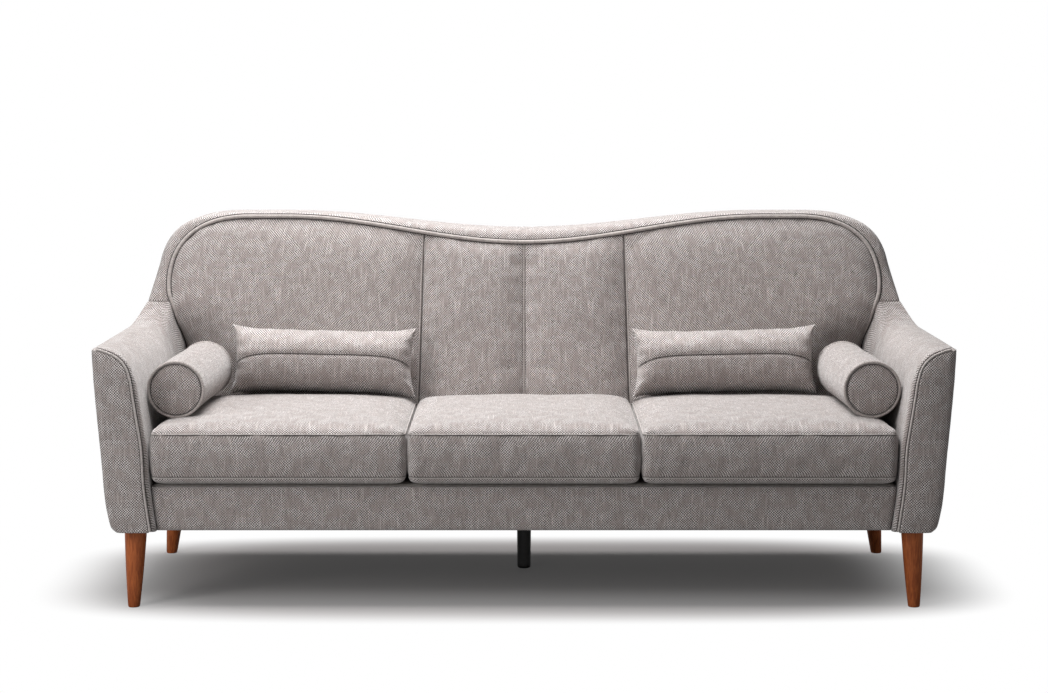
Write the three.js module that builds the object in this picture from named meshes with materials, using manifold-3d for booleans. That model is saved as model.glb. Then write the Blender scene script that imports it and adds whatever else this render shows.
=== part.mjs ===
// Three-seat sofa with a back that rises in two humps and dips in the middle.
// Lengths are millimetres, +X is to the right seen from the front, +Y to the rear, +Z up.
import * as THREE from "three";
import { mergeVertices } from "three/addons/utils/BufferGeometryUtils.js";
import Module from "manifold-3d";

const wasm = await Module();
wasm.setup();

// Overall sizes
const overallWidth = 2080;
const overallDepth = 872;
const bodyBottom = 197.5;
const armHeight = 643;
const humpHeight = 936;
const dipDepth = 46;
const halfWidth = overallWidth / 2;
const dipHeight = humpHeight - dipDepth;

// Clearances and thicknesses shared by many pieces
const touchGap = 0.3;
const softGap = 0.5;
const cutOverrun = 20;
const sharpestMiter = 0.5;
const coverWall = 12;
const railThickness = 25;

// Deck pad on the rails, and the heights of the seams of the box cushions above it
const deckRise = 113.2;
const deckThickness = 11.7;
const deckPostGap = 1.3;
const deckSideGap = 2;
const seatLowerSeamRise = 20.3;
const seatBoxing = 105;
const deckTop = bodyBottom + deckRise;
const deckUnderside = deckTop - deckThickness;
const railTop = deckUnderside - touchGap;
const seatLowerSeam = deckTop + seatLowerSeamRise;
const seatTopSeam = seatLowerSeam + seatBoxing;

// Arm section seen from the front: outer side, rolled top, inner face with a knee at the deck
const armFootSetIn = 51;
const armFootWidth = 95;
const armFootHalfWidth = halfWidth - armFootSetIn;
const armInnerFoot = armFootHalfWidth - armFootWidth;
const kneeDrop = 1.8;
const kneeAcrossShare = 0.095;
const weltFootShare = 0.38;
const kneeUpShare = (deckRise - kneeDrop) / (armHeight - bodyBottom);
// Each row: across and up at the front, then across and up where the arm meets the back
const outerSideShares = [
  [0, 0, 0, 0],
  [0.2, 0.02, 0.2, 0.02],
  [0.34, 0.07, 0.34, 0.06],
  [0.5, 0.18, 0.5, 0.16],
  [0.64, 0.4, 0.64, 0.35],
  [0.8, 0.62, 0.8, 0.55],
  [0.94, 0.84, 0.94, 0.74],
];
const rollShares = [
  [1, 1, 0.87, 1],
  [0.86, 1.002, 0.76, 1],
  [0.77, 1, 0.6, 1],
  [0.56, 0.975, 0.48, 1],
  [0.4, 0.92, weltFootShare, 1],
  [0.3, 0.83, 0.29, 0.9],
  [0.25, 0.745, 0.15, 0.77],
];
const faceShares = [
  [0.195, 0.105, 0.62],
  [0.125, kneeAcrossShare, 0.457],
  [kneeAcrossShare, kneeAcrossShare, kneeUpShare],
  [0, 0, 0],
];

// Back: front plane leans back from the seat, rear plane leans less
const backDepth = 240;
const backPlaneRise = 14;
const frontRake = 0.17;
const rearRake = 0.095;
const backPlaneAtSeat = overallDepth - backDepth;
const backPlaneSeatHeight = seatTopSeam + backPlaneRise;
const borderDepth = 160;
const borderFrontRound = 24;
const borderRoundSteps = 3;
const borderWall = 10;
const lipThickness = 12;
const outsideBackThickness = 8;
const outsideBackBevel = 3;

// Arm along its length: front panel, rounded front edge, level run, sweep up to the cross seam
const armPanelDepth = 12;
const armPanelBevel = 4;
const armPanelInset = 15;
const armFrontRound = 14;
const armStationShares = [0.1, 0.3, 0.5, 0.64, 0.72, 0.78, 0.84, 0.9, 1];
const crossSeamRise = 57;
const sweepPastBack = 58;
const innerSweepLength = 150;
const outerSweepLength = 105;
const outerSweepLag = 15;
const crossSeamHeight = armHeight + crossSeamRise;
const sweepEnd = backPlaneAtSeat + sweepPastBack;
const innerSweepStart = sweepEnd - innerSweepLength;
const outerSweepEnd = sweepEnd + outerSweepLag;
const outerSweepStart = outerSweepEnd - outerSweepLength;
const faceTaperPower = 1.5;
const armPipingRadius = 3.5;
const armPipingSteps = 26;

// Outer contour of the back and the welt line inside it, set in from the sides and the top
const crestSetIn = 400;
const outerCrestSetIn = 272;
const outerShoulderSetIn = 20;
const crestStart = halfWidth - crestSetIn;
const outerCrestEnd = halfWidth - outerCrestSetIn;
const outerShoulderHalf = halfWidth - outerShoulderSetIn;
const outerShoulderShares = [[0, 1], [0.524, 1], [0.794, 0.856], [0.877, 0.449], [1, 0]];
const weltDipDrop = 34;
const weltHumpDrop = 12;
const weltCrestSetIn = 28;
const weltFootGap = 1.5;
const weltDip = dipHeight - weltDipDrop;
const weltHump = humpHeight - weltHumpDrop;
const weltCrestEnd = outerCrestEnd - weltCrestSetIn;
const weltShoulderHalf = blend(armInnerFoot, halfWidth, weltFootShare) + weltFootGap;
const weltShoulderShares = [[0, 1], [0.616, 1], [0.995, 0.723], [1, 0.1875], [0.99, 0]];
const contourSteps = 9;
const shoulderSteps = 8;
const weltRadius = 5;
const weltSteps = 50;
const cordSides = 6;

// Four padded panels of the inside back
const panelSeamTop = 267;
const panelSeamFoot = 286;
const panelThickness = 47;
const panelRimSetback = 4;
const panelCrown = 24;
const panelRingShares = [0.97, 0.9, 0.78, 0.58, 0.32];
const crownEdgePower = 2.5;
const crownRisePower = 0.6;
const panelSideSteps = 5;

// Three box cushions, the outer two against the arms
const seatDivision = 284;
const seatArmGap = 1;
const seatFront = 12;
const seatBackGap = 6;
const seatOuterHalf = armInnerFoot + (halfWidth - armInnerFoot) * kneeAcrossShare - seatArmGap;
const seatRear = backPlaneAtSeat - panelCrown - seatBackGap;
const deckHalf = seatOuterHalf - deckSideGap;
const seatCrown = 42;
const seatCornerRadius = 38;
const seatSeamDraw = 4.5;
const seatUndercut = 20;
const seatUndercutStep = 7;
const seatUndercutRise = 7;
const seatTopRoll = 9;
const seatTopRollRise = 13;
const seatRingShares = [0.9, 0.78, 0.6, 0.36];
const seatCrownEdgePower = 3.5;
const seatCrownRisePower = 0.5;
const seatCornerSteps = 5;
const seatEdgeSteps = 4;

// Bolsters beside the arms, turned to follow the arms' inner faces
const bolsterRadius = 70;
const bolsterFront = 120;
const bolsterRearGap = 32;
const bolsterArmGap = 4.8;
const bolsterTurnIn = 13;
const bolsterEndCrown = 8;
const bolsterWeltRadius = 4;
const bolsterWeltGroove = 2.5;
const bolsterSides = 20;
const settlePasses = 6;
const bolsterLength = seatRear - bolsterFront - bolsterRearGap;

// Lumbar pillows that lean on the back; their corners reach just past the bolsters' sides
const pillowWidth = 489;
const pillowHeight = 200;
const pillowThickness = 118;
const pillowCornerLap = 1;
const pillowPinchShare = 0.045;
const pillowSagShare = 0.07;
const pillowSeamDrawShare = 0.1;
const pillowSeamHalfShare = 0.09;
const pillowLean = 0.54;
const pillowEdgePower = 2.2;
const pillowRisePower = 0.62;
const pillowColumnShares = [-1, -0.93, -0.8, -0.6, -0.35, 0, 0.35, 0.6, 0.8, 0.93, 1];
const pillowRowShares = [-1, -0.84, -0.6, -0.32, -0.09, 0, 0.09, 0.32, 0.6, 0.84, 1];

// Front apron and dust cover
const apronSideGap = 1;
const apronFront = 30;
const apronThickness = 15;
const apronDrop = 5.7;
const apronBevel = 4;
const dustThickness = 2;
const dustHoleRadius = 32;

// Turned legs with a threaded stud and a steel plate above each
const legTopRadius = 27.5;
const legFootRadius = 14.5;
const legSwell = 1.2;
const legChamfer = 2;
const legSides = 18;
const legSwellShares = [0.2, 0.4, 0.6, 0.8];
const studRadius = 4;
const studLength = 30;
const studBury = 3;
const studClearance = 0.5;
const plateRadius = 19;
const plateWallGap = 0.8;
const plateSides = 20;
const holeSides = 12;
const frontLegY = 75;
const frontLegSplayX = 8;
const frontLegSplayY = 0;
const backLegSetIn = 7;
const backLegSplayX = 23;
const backLegSplayY = 15;
const centreLegFromRear = 322;
const centreLegTopRadius = 19.5;
const centreLegFootRadius = 17.5;
const centreLegRound = 6;
const centreLegRoundSteps = 3;

// Seat frame of timber rails, with blocks for the legs inside the arms
const railRise = 7.5;
const frameRearSetIn = 112;
const frameArmLap = 11;
const stretcherWidth = 50;
const stretcherSpringGap = 21;
const stretcherX = 0;
const blockRise = 5.8;
const blockHeight = 53;
const blockSideGap = 5;
const frontBlockPastLeg = 37;
const rearBlockBeforeLeg = 44;
const rearBlockPastLeg = 50;
const rearBlockGap = 6;
const railBottom = bodyBottom + railRise;
const frameFront = apronFront + apronThickness + touchGap;
const frameRear = overallDepth - frameRearSetIn;
const frameHalfWidth = armInnerFoot + frameArmLap;
const blockBottom = bodyBottom + blockRise;
const blockOuter = armFootHalfWidth - coverWall - blockSideGap;
const rearBlockEnd = rearSeat(blockBottom) - rearBlockGap;
const frontLegX = footWallX() - plateRadius - plateWallGap;
const backLegX = frontLegX - backLegSetIn;
const backLegY = rearBlockEnd - rearBlockPastLeg;
const centreLegY = overallDepth - centreLegFromRear;

// Arm timber
const formerSetBack = 0.4;
const formerClearance = 1;
const formerFitShare = 0.9;
const armTopRailSideGap = 6.8;
const armTopRailHeight = 20;
const armTopRailDrop = 37;
const armTopRailRearGap = 50;
const formerFront = armPanelDepth + touchGap + armFrontRound + formerSetBack;

// Back timber behind the panels, with webbing straps between the panels and the timber
const webWidth = 50;
const webThickness = 2;
const webPanelGap = 0.7;
const webCrestGap = 40;
const webLap = 30;
const backFrameThickness = 25;
const topRailInset = 15;
const topRailHeight = 74;
const postWidth = 45;
const postDepth = 45;
const postDrop = 11;
const lowerRailHeight = 59;
const uprightWidth = 40;
const backFrameSetback = panelThickness + webPanelGap + webThickness + touchGap;
const postTop = dipHeight - borderWall - topRailInset - topRailHeight - postDrop;
const lowerRailBottom = deckTop + touchGap;
const webOuterX = crestStart - webCrestGap;
const webInnerX = webOuterX / 2;

// Zigzag seat springs, three to a seat, tied together and held by clips under the pad
const springsPerSeat = 3;
const springHalfWidth = 24;
const springLoopBulge = 5;
const springHalfWaves = 11;
const springStepsPerWave = 3;
const springWireRadius = 2;
const springEndDrop = 16;
const springPadGap = 2;
const springSides = 4;
const springSideMargin = 95;
const springEndHeight = deckUnderside - springEndDrop;
const springRise = springEndDrop - springWireRadius - springPadGap;
const clipWidth = 58;
const clipDepth = 12;
const clipHeight = 14;
const tieRadius = 2;
const tieSides = 6;
const tieShares = [0.33, 0.67];

// Colours
const fabricColour = 0x9a918c;
const weltColour = 0x8c837f;
const walnutColour = 0x7a4a2c;
const blackColour = 0x161514;
const timberColour = 0xc9a778;
const steelColour = 0x9c9fa3;
const webbingColour = 0x3a352f;
const clothColour = 0x2b2b2c;
const padColour = 0xb8b2ab;

const materials = {
  fabric: new THREE.MeshStandardMaterial({ color: fabricColour, roughness: 0.95, metalness: 0 }),
  welt: new THREE.MeshStandardMaterial({ color: weltColour, roughness: 0.95, metalness: 0 }),
  walnut: new THREE.MeshStandardMaterial({ color: walnutColour, roughness: 0.4, metalness: 0 }),
  black: new THREE.MeshStandardMaterial({ color: blackColour, roughness: 0.5, metalness: 0 }),
  timber: new THREE.MeshStandardMaterial({ color: timberColour, roughness: 0.8, metalness: 0 }),
  steel: new THREE.MeshStandardMaterial({ color: steelColour, roughness: 0.35, metalness: 1 }),
  webbing: new THREE.MeshStandardMaterial({ color: webbingColour, roughness: 0.9, metalness: 0 }),
  cloth: new THREE.MeshStandardMaterial({ color: clothColour, roughness: 0.95, metalness: 0 }),
  pad: new THREE.MeshStandardMaterial({ color: padColour, roughness: 0.95, metalness: 0 }),
};

const sofa = new THREE.Group();

function add(name, geometry, material) {
  const mesh = new THREE.Mesh(geometry, material);
  mesh.name = name;
  sofa.add(mesh);
  return mesh;
}

function blend(from, to, share) {
  return from + (to - from) * share;
}

function smooth(value, start, end) {
  return THREE.MathUtils.smoothstep(value, start, end);
}

// Six times the enclosed volume, negative where the faces point inwards
function signedVolume(geometry) {
  const place = geometry.attributes.position;
  const index = geometry.index;
  const a = new THREE.Vector3();
  const b = new THREE.Vector3();
  const c = new THREE.Vector3();
  let total = 0;
  for (let i = 0; i < index.count; i += 3) {
    a.fromBufferAttribute(place, index.getX(i));
    b.fromBufferAttribute(place, index.getX(i + 1));
    c.fromBufferAttribute(place, index.getX(i + 2));
    total += a.dot(b.cross(c));
  }
  return total;
}

// Merges a surface's shared points and turns its faces outwards
function facingOut(source) {
  const bare = source.clone();
  bare.deleteAttribute("normal");
  bare.deleteAttribute("uv");
  const geometry = mergeVertices(bare);
  if (signedVolume(geometry) < 0) {
    const index = geometry.index;
    for (let i = 0; i < index.count; i += 3) {
      const second = index.getX(i + 1);
      index.setX(i + 1, index.getX(i + 2));
      index.setX(i + 2, second);
    }
  }
  geometry.computeVertexNormals();
  return geometry;
}

function surface(points, triangles) {
  const geometry = new THREE.BufferGeometry();
  geometry.setAttribute("position", new THREE.Float32BufferAttribute(points.flat(), 3));
  geometry.setIndex(triangles.flat());
  return facingOut(geometry);
}

// Skin through closed rings of equal length; a ring of one point is a pole
function ringSkin(rings, capPlane) {
  const points = [];
  const starts = [];
  for (const ring of rings) {
    starts.push(points.length);
    points.push(...ring);
  }
  const triangles = [];
  for (let r = 0; r + 1 < rings.length; r += 1) {
    const lower = rings[r].length;
    const upper = rings[r + 1].length;
    const count = Math.max(lower, upper);
    for (let i = 0; i < count; i += 1) {
      const next = (i + 1) % count;
      const a = starts[r] + (lower > 1 ? i : 0);
      const b = starts[r] + (lower > 1 ? next : 0);
      const c = starts[r + 1] + (upper > 1 ? next : 0);
      const d = starts[r + 1] + (upper > 1 ? i : 0);
      if (lower > 1) {
        triangles.push([a, b, c]);
      }
      if (upper > 1) {
        triangles.push([a, c, d]);
      }
    }
  }
  const last = rings.length - 1;
  for (const [r, turned] of [[0, true], [last, false]]) {
    if (rings[r].length > 1) {
      const flat = rings[r].map((point) => capPlane(point));
      for (const [a, b, c] of THREE.ShapeUtils.triangulateShape(flat, [])) {
        const face = [starts[r] + a, starts[r] + b, starts[r] + c];
        const clockwise = THREE.ShapeUtils.isClockWise(flat);
        triangles.push(turned === clockwise ? face : face.reverse());
      }
    }
  }
  return surface(points, triangles);
}

// Changes every point of a geometry
function reshaped(source, change) {
  const geometry = source.clone();
  const place = geometry.attributes.position;
  for (let i = 0; i < place.count; i += 1) {
    const [x, y, z] = change(place.getX(i), place.getY(i), place.getZ(i));
    place.setXYZ(i, x, y, z);
  }
  return facingOut(geometry);
}

function mirrored(source) {
  return reshaped(source, (x, y, z) => [-x, y, z]);
}

// Plate whose outline lies in the front view and whose depth runs to the rear
function plate(outline, depth, bevel) {
  const options = { depth: depth - 2 * bevel, bevelEnabled: bevel > 0, steps: 1 };
  options.bevelThickness = bevel;
  options.bevelSize = bevel;
  options.bevelOffset = -bevel;
  options.bevelSegments = bevel === borderFrontRound ? borderRoundSteps : 1;
  const flat = new THREE.ExtrudeGeometry(new THREE.Shape(outline), options);
  return reshaped(flat, (x, y, z) => [x, z + bevel, y]);
}

function box(x0, x1, y0, y1, z0, z1) {
  const geometry = new THREE.BoxGeometry(x1 - x0, y1 - y0, z1 - z0);
  geometry.translate((x0 + x1) / 2, (y0 + y1) / 2, (z0 + z1) / 2);
  return facingOut(geometry);
}

function solidOf(geometry) {
  const clean = facingOut(geometry);
  const vertProperties = new Float32Array(clean.attributes.position.array);
  const triVerts = new Uint32Array(clean.index.array);
  return new wasm.Manifold(new wasm.Mesh({ numProp: 3, vertProperties, triVerts }));
}

function geometryOf(solid) {
  const mesh = solid.getMesh();
  const geometry = new THREE.BufferGeometry();
  geometry.setAttribute("position", new THREE.Float32BufferAttribute(mesh.vertProperties, 3));
  geometry.setIndex(Array.from(mesh.triVerts));
  geometry.computeVertexNormals();
  return geometry;
}

function cut(body, ...tools) {
  let solid = solidOf(body);
  for (const tool of tools) {
    solid = solid.subtract(solidOf(tool));
  }
  return geometryOf(solid);
}

function joined(...bodies) {
  let solid = solidOf(bodies[0]);
  for (const body of bodies.slice(1)) {
    solid = solid.add(solidOf(body));
  }
  return geometryOf(solid);
}

// Front plane and rear plane of the back at a height
function frontPlane(z) {
  return backPlaneAtSeat + (z - backPlaneSeatHeight) * frontRake;
}

function rearPlane(z) {
  return overallDepth - (humpHeight - z) * rearRake;
}

function rearSeat(z) {
  return rearPlane(z) - outsideBackThickness - touchGap;
}

function raked(geometry) {
  return reshaped(geometry, (x, y, z) => [x, frontPlane(z) + y, z]);
}

// Half contour of the back, from the middle of the dip to the cross seam
function halfContour(dip, hump, crestEnd, shoulderHalf, shares, inset) {
  const points = [];
  for (let i = 0; i <= contourSteps; i += 1) {
    const share = i / contourSteps;
    const rise = (1 - Math.cos(Math.PI * share)) / 2;
    points.push(new THREE.Vector2(crestStart * share, blend(dip, hump, rise) - inset));
  }
  const corners = shares.map(([across, up]) => new THREE.Vector2(
    blend(crestEnd, shoulderHalf - inset, across),
    blend(crossSeamHeight, hump - inset, up),
  ));
  const shoulder = new THREE.CubicBezierCurve(corners[0], corners[1], corners[2], corners[3]);
  points.push(...shoulder.getPoints(shoulderSteps), corners[4]);
  return points;
}

function outerContour(inset) {
  return halfContour(dipHeight, humpHeight, outerCrestEnd, outerShoulderHalf, outerShoulderShares, inset);
}

function weltContour(inset) {
  return halfContour(weltDip, weltHump, weltCrestEnd, weltShoulderHalf, weltShoulderShares, inset);
}

// Both halves of a contour, left to right
function wholeContour(half) {
  const left = half.slice(1).map((point) => new THREE.Vector2(-point.x, point.y));
  return [...left.reverse(), ...half];
}

// Contour carried straight down to a floor height as a closed outline
function contourAbove(half, floor) {
  const outline = wholeContour(half);
  const edge = half[half.length - 1].x;
  return [...outline, new THREE.Vector2(edge, floor), new THREE.Vector2(-edge, floor)];
}

// Outer side and rolled top of the arm's section; they sweep up where the arm meets the back
function armTopPoints(distance, faceInset) {
  const outerSweep = smooth(distance, outerSweepStart, outerSweepEnd);
  const innerSweep = smooth(distance, innerSweepStart, sweepEnd);
  const side = outerSideShares.map(([across, up, acrossRear, upRear]) => new THREE.Vector2(
    blend(armFootHalfWidth, halfWidth, blend(across, acrossRear, outerSweep)),
    blend(blend(bodyBottom, armHeight, up), blend(bodyBottom, crossSeamHeight, upRear), outerSweep),
  ));
  const roll = rollShares.map(([across, up, acrossRear, upRear], i) => {
    const inward = i / (rollShares.length - 1);
    const weight = blend(outerSweep, innerSweep, inward);
    const inset = faceInset * Math.min(inward * 2, 1);
    const x = blend(armInnerFoot, halfWidth, blend(across, acrossRear, weight));
    const z = blend(blend(bodyBottom, armHeight, up), blend(bodyBottom, crossSeamHeight, upRear), weight);
    return new THREE.Vector2(x + inset * inward, z - inset * (1 - inward));
  });
  return [...side, ...roll];
}

// One ring of the arm's section at a distance from the front plane
function armRing(distance, faceInset) {
  const taper = Math.min(distance / sweepEnd, 1) ** faceTaperPower;
  const face = faceShares.map(([across, acrossRear, up]) => new THREE.Vector2(
    blend(armInnerFoot, halfWidth, blend(across, acrossRear, taper)) + faceInset,
    blend(bodyBottom, armHeight, up),
  ));
  return [...armTopPoints(distance, faceInset), ...face];
}

// Point on the line from one point through another, at a height
function onLine(from, through, height) {
  const share = (height - from.y) / (through.y - from.y);
  return new THREE.Vector2().lerpVectors(from, through, share);
}

// Moves an outline's points inwards by a distance
function insetOutline(outline, distance) {
  const turn = THREE.ShapeUtils.isClockWise(outline) ? -1 : 1;
  return outline.map((point, i) => {
    const before = outline[(i + outline.length - 1) % outline.length];
    const after = outline[(i + 1) % outline.length];
    const into = new THREE.Vector2().subVectors(point, before).normalize();
    const out = new THREE.Vector2().subVectors(after, point).normalize();
    const along = new THREE.Vector2().addVectors(into, out).normalize();
    const normal = new THREE.Vector2(-along.y, along.x).multiplyScalar(turn);
    const square = new THREE.Vector2(-into.y, into.x).multiplyScalar(turn);
    const miter = Math.max(square.dot(normal), sharpestMiter);
    return normal.multiplyScalar(distance / miter).add(point);
  });
}

// Least and greatest reach across of an outline at a height
function spanAt(outline, height) {
  const reaches = [];
  outline.forEach((point, i) => {
    const next = outline[(i + 1) % outline.length];
    if ((point.y - height) * (next.y - height) < 0) {
      reaches.push(onLine(point, next, height).x);
    }
  });
  return [Math.min(...reaches), Math.max(...reaches)];
}

// Distance from a point to an outline
function outlineDistance(outline, point) {
  const nearest = new THREE.Vector3();
  const place = new THREE.Vector3(point.x, point.y, 0);
  return Math.min(...outline.map((from, i) => {
    const to = outline[(i + 1) % outline.length];
    const edge = new THREE.Line3(new THREE.Vector3(from.x, from.y, 0), new THREE.Vector3(to.x, to.y, 0));
    return edge.closestPointToPoint(place, true, nearest).distanceTo(place);
  }));
}

// Inner side of the arm cover's outer wall at the level where the legs start
function footWallX() {
  const hollow = insetOutline(armRing(frontLegY, 0), coverWall);
  return onLine(hollow[1], hollow[0], bodyBottom).x;
}

function armCover() {
  const front = armPanelDepth + touchGap;
  const roundEnd = front + armFrontRound;
  const stations = [[front, armPanelInset], [roundEnd, 0]];
  for (const share of armStationShares) {
    stations.push([blend(roundEnd, outerSweepEnd, share), 0]);
  }
  const outside = [];
  const inside = [];
  for (const [distance, faceInset] of stations) {
    const ring = armRing(distance, faceInset);
    const hollow = insetOutline(ring, coverWall);
    const end = hollow.length - 1;
    hollow[0] = onLine(hollow[1], hollow[0], bodyBottom - cutOverrun);
    hollow[end] = onLine(hollow[end - 1], hollow[end], bodyBottom - cutOverrun);
    outside.push(ring.map((point) => [point.x, distance, point.y]));
    inside.push(hollow.map((point) => [point.x, distance, point.y]));
  }
  const lastRing = outside[outside.length - 1];
  const lastHollow = inside[inside.length - 1];
  outside.push(lastRing.map(([x, , z]) => [x, rearSeat(z), z]));
  inside.push(lastHollow.map(([x, , z]) => [x, overallDepth + cutOverrun, z]));
  inside.unshift(inside[0].map(([x, y, z]) => [x, y - cutOverrun, z]));
  const capPlane = ([x, , z]) => new THREE.Vector2(x, z);
  const passage = box(
    armInnerFoot - cutOverrun,
    armInnerFoot + armPanelInset + cutOverrun,
    frameFront - 2 * touchGap,
    overallDepth + cutOverrun,
    bodyBottom - cutOverrun,
    railTop + touchGap,
  );
  return cut(ringSkin(outside, capPlane), ringSkin(inside, capPlane), passage);
}

// Front outline of the arm: the panel's edge and the welt line beside it
function armFrontOutline() {
  return armRing(0, armPanelInset);
}

function armFrontPanel() {
  return plate(armFrontOutline(), armPanelDepth, armPanelBevel);
}

function armPiping() {
  const outline = insetOutline(armFrontOutline(), -armPipingRadius - softGap);
  const line = outline.slice(outerSideShares.length + 1);
  const depth = armPanelDepth - armPipingRadius;
  const path = new THREE.CatmullRomCurve3(line.map((point) => new THREE.Vector3(point.x, depth, point.y)));
  return cord(path, armPipingRadius, armPipingSteps, cordSides);
}

// Round cord along a path
function cord(path, radius, steps, sides) {
  const section = new THREE.Shape();
  for (let i = 0; i < sides; i += 1) {
    const angle = (2 * Math.PI * i) / sides;
    const place = [radius * Math.cos(angle), radius * Math.sin(angle)];
    if (i === 0) {
      section.moveTo(...place);
    } else {
      section.lineTo(...place);
    }
  }
  return facingOut(new THREE.ExtrudeGeometry(section, { steps, bevelEnabled: false, extrudePath: path }));
}

function armFormer() {
  const ring = armRing(formerFront, 0);
  const inset = coverWall + formerClearance;
  const least = inset * formerFitShare;
  const outline = insetOutline(ring, inset).filter((point) => outlineDistance(ring, point) > least);
  const depth = frameFront - touchGap - formerFront;
  return reshaped(plate(outline, depth, 0), (x, y, z) => [x, y + formerFront, z]);
}

function armTopRail() {
  const top = armHeight - armTopRailDrop;
  const floor = top - armTopRailHeight;
  const rear = sweepEnd - armTopRailRearGap;
  const room = [frameFront, rear].map((distance) => insetOutline(armRing(distance, 0), coverWall));
  const inner = Math.max(...room.map((hollow) => spanAt(hollow, top)[0]));
  const outer = Math.min(...room.map((hollow) => spanAt(hollow, floor)[1]));
  return box(inner + armTopRailSideGap, outer - armTopRailSideGap, frameFront, rear, floor, top);
}

function addArm(side, turn) {
  add(`arm_cover_${side}`, turn(armCover()), materials.fabric);
  add(`arm_front_panel_${side}`, turn(armFrontPanel()), materials.fabric);
  add(`arm_piping_${side}`, turn(armPiping()), materials.welt);
  add(`arm_former_${side}`, turn(armFormer()), materials.timber);
  add(`arm_top_rail_${side}`, turn(armTopRail()), materials.timber);
}

// Border band: rounded over its front edge, hollow behind its lip, open where the panels sit
function backBorder() {
  const floor = crossSeamHeight - 2 * borderFrontRound;
  const depth = borderDepth + 2 * borderFrontRound;
  const body = plate(contourAbove(outerContour(0), floor), depth, borderFrontRound);
  const widest = overallWidth;
  const below = box(-widest, widest, -cutOverrun, overallDepth, 0, crossSeamHeight + touchGap);
  const behind = box(-widest, widest, borderDepth, overallDepth, 0, humpHeight + cutOverrun);
  const hollowOutline = contourAbove(outerContour(borderWall), floor - cutOverrun);
  const hollow = plate(hollowOutline, borderDepth + cutOverrun, 0);
  const openingOutline = contourAbove(weltContour(-touchGap), floor - cutOverrun);
  const opening = plate(openingOutline, lipThickness + 2 * cutOverrun, 0);
  const flat = cut(
    body,
    below,
    behind,
    reshaped(hollow, (x, y, z) => [x, y + lipThickness, z]),
    reshaped(opening, (x, y, z) => [x, y - cutOverrun, z]),
  );
  return reshaped(flat, (x, y, z) => [x, blend(frontPlane(z), rearSeat(z), y / borderDepth), z]);
}

function backPiping() {
  const depth = -weltRadius - touchGap;
  const points = wholeContour(weltContour(-weltRadius / 2)).map((point) => {
    const height = Math.max(point.y, crossSeamHeight + weltRadius);
    return new THREE.Vector3(point.x, frontPlane(height) + depth, height);
  });
  return cord(new THREE.CatmullRomCurve3(points), weltRadius, weltSteps, cordSides);
}

// Side edge of the inside back below the cross seam, beside the arm's inner face
function panelSideEdge() {
  const floor = deckTop + touchGap;
  const face = armRing(sweepEnd, 0).slice(outerSideShares.length + 4);
  const below = face.findIndex((point) => point.y <= floor);
  const edge = [...face.slice(0, below), onLine(face[below - 1], face[below], floor)];
  return edge.map((point) => new THREE.Vector2(point.x - 2 * softGap, point.y));
}

// Point of a vertical seam at a height, and the welt line's height above it
function seamX(z) {
  return blend(panelSeamFoot, panelSeamTop, (z - deckTop) / (humpHeight - deckTop));
}

function weltHeight(x) {
  const rise = (1 - Math.cos(Math.PI * Math.min(x / crestStart, 1))) / 2;
  return blend(weltDip, weltHump, rise) - softGap;
}

// Straight run of points between two corners, without the second one
function run(from, to, steps) {
  return Array.from({ length: steps }, (_, i) => new THREE.Vector2().lerpVectors(from, to, i / steps));
}

function innerPanelOutline() {
  const floor = deckTop + touchGap;
  const half = softGap / 2;
  const foot = new THREE.Vector2(half, floor);
  const footSeam = new THREE.Vector2(seamX(floor) - half, floor);
  const topX = seamX(weltHeight(panelSeamTop)) - half;
  const top = [];
  for (let i = 0; i <= contourSteps; i += 1) {
    const x = blend(topX, half, i / contourSteps);
    top.push(new THREE.Vector2(x, weltHeight(x)));
  }
  return [
    ...run(foot, footSeam, panelSideSteps),
    ...run(footSeam, top[0], 2 * panelSideSteps),
    ...top.slice(0, -1),
    ...run(top[top.length - 1], foot, 2 * panelSideSteps),
  ];
}

function outerPanelOutline() {
  const floor = deckTop + touchGap;
  const half = softGap / 2;
  const topSeam = seamX(weltHeight(panelSeamTop)) + half;
  const nearest = topSeam + Math.abs(panelSeamFoot - panelSeamTop);
  const contour = weltContour(softGap).filter((point) => point.x > nearest);
  const start = new THREE.Vector2(topSeam, weltHeight(topSeam));
  const foot = new THREE.Vector2(seamX(floor) + half, floor);
  const side = panelSideEdge();
  const corner = side[side.length - 1];
  return [
    start,
    ...contour.slice(0, -1),
    ...side.slice(0, -1),
    ...run(corner, foot, 2 * panelSideSteps),
    ...run(foot, start, 2 * panelSideSteps),
  ];
}

// Padded panel: crowned front, drawn in at its rim, flat behind
function paddedPanel(outline) {
  const centre = new THREE.Vector2();
  new THREE.Box2().setFromPoints(outline).getCenter(centre);
  const ringAt = (share, depth) => outline.map((point) => {
    const place = new THREE.Vector2().lerpVectors(centre, point, share);
    return [place.x, depth, place.y];
  });
  const rings = [ringAt(1, panelThickness), ringAt(1, panelRimSetback)];
  for (const share of panelRingShares) {
    const rise = (1 - share ** crownEdgePower) ** crownRisePower;
    rings.push(ringAt(share, panelRimSetback - panelCrown * rise));
  }
  rings.push([[centre.x, panelRimSetback - panelCrown, centre.y]]);
  return raked(ringSkin(rings, ([x, , z]) => new THREE.Vector2(x, z)));
}

function outsideBack() {
  const rear = armRing(outerSweepEnd, 0).slice(0, outerSideShares.length);
  const rightSide = rear.map((point) => new THREE.Vector2(point.x - outsideBackBevel, point.y)).reverse();
  const upper = outerContour(outsideBackBevel);
  const half = [...upper, ...rightSide];
  const outline = wholeContour(half);
  const panel = plate(outline, outsideBackThickness, outsideBackBevel);
  return reshaped(panel, (x, y, z) => [x, rearPlane(z) - outsideBackThickness + y, z]);
}

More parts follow.
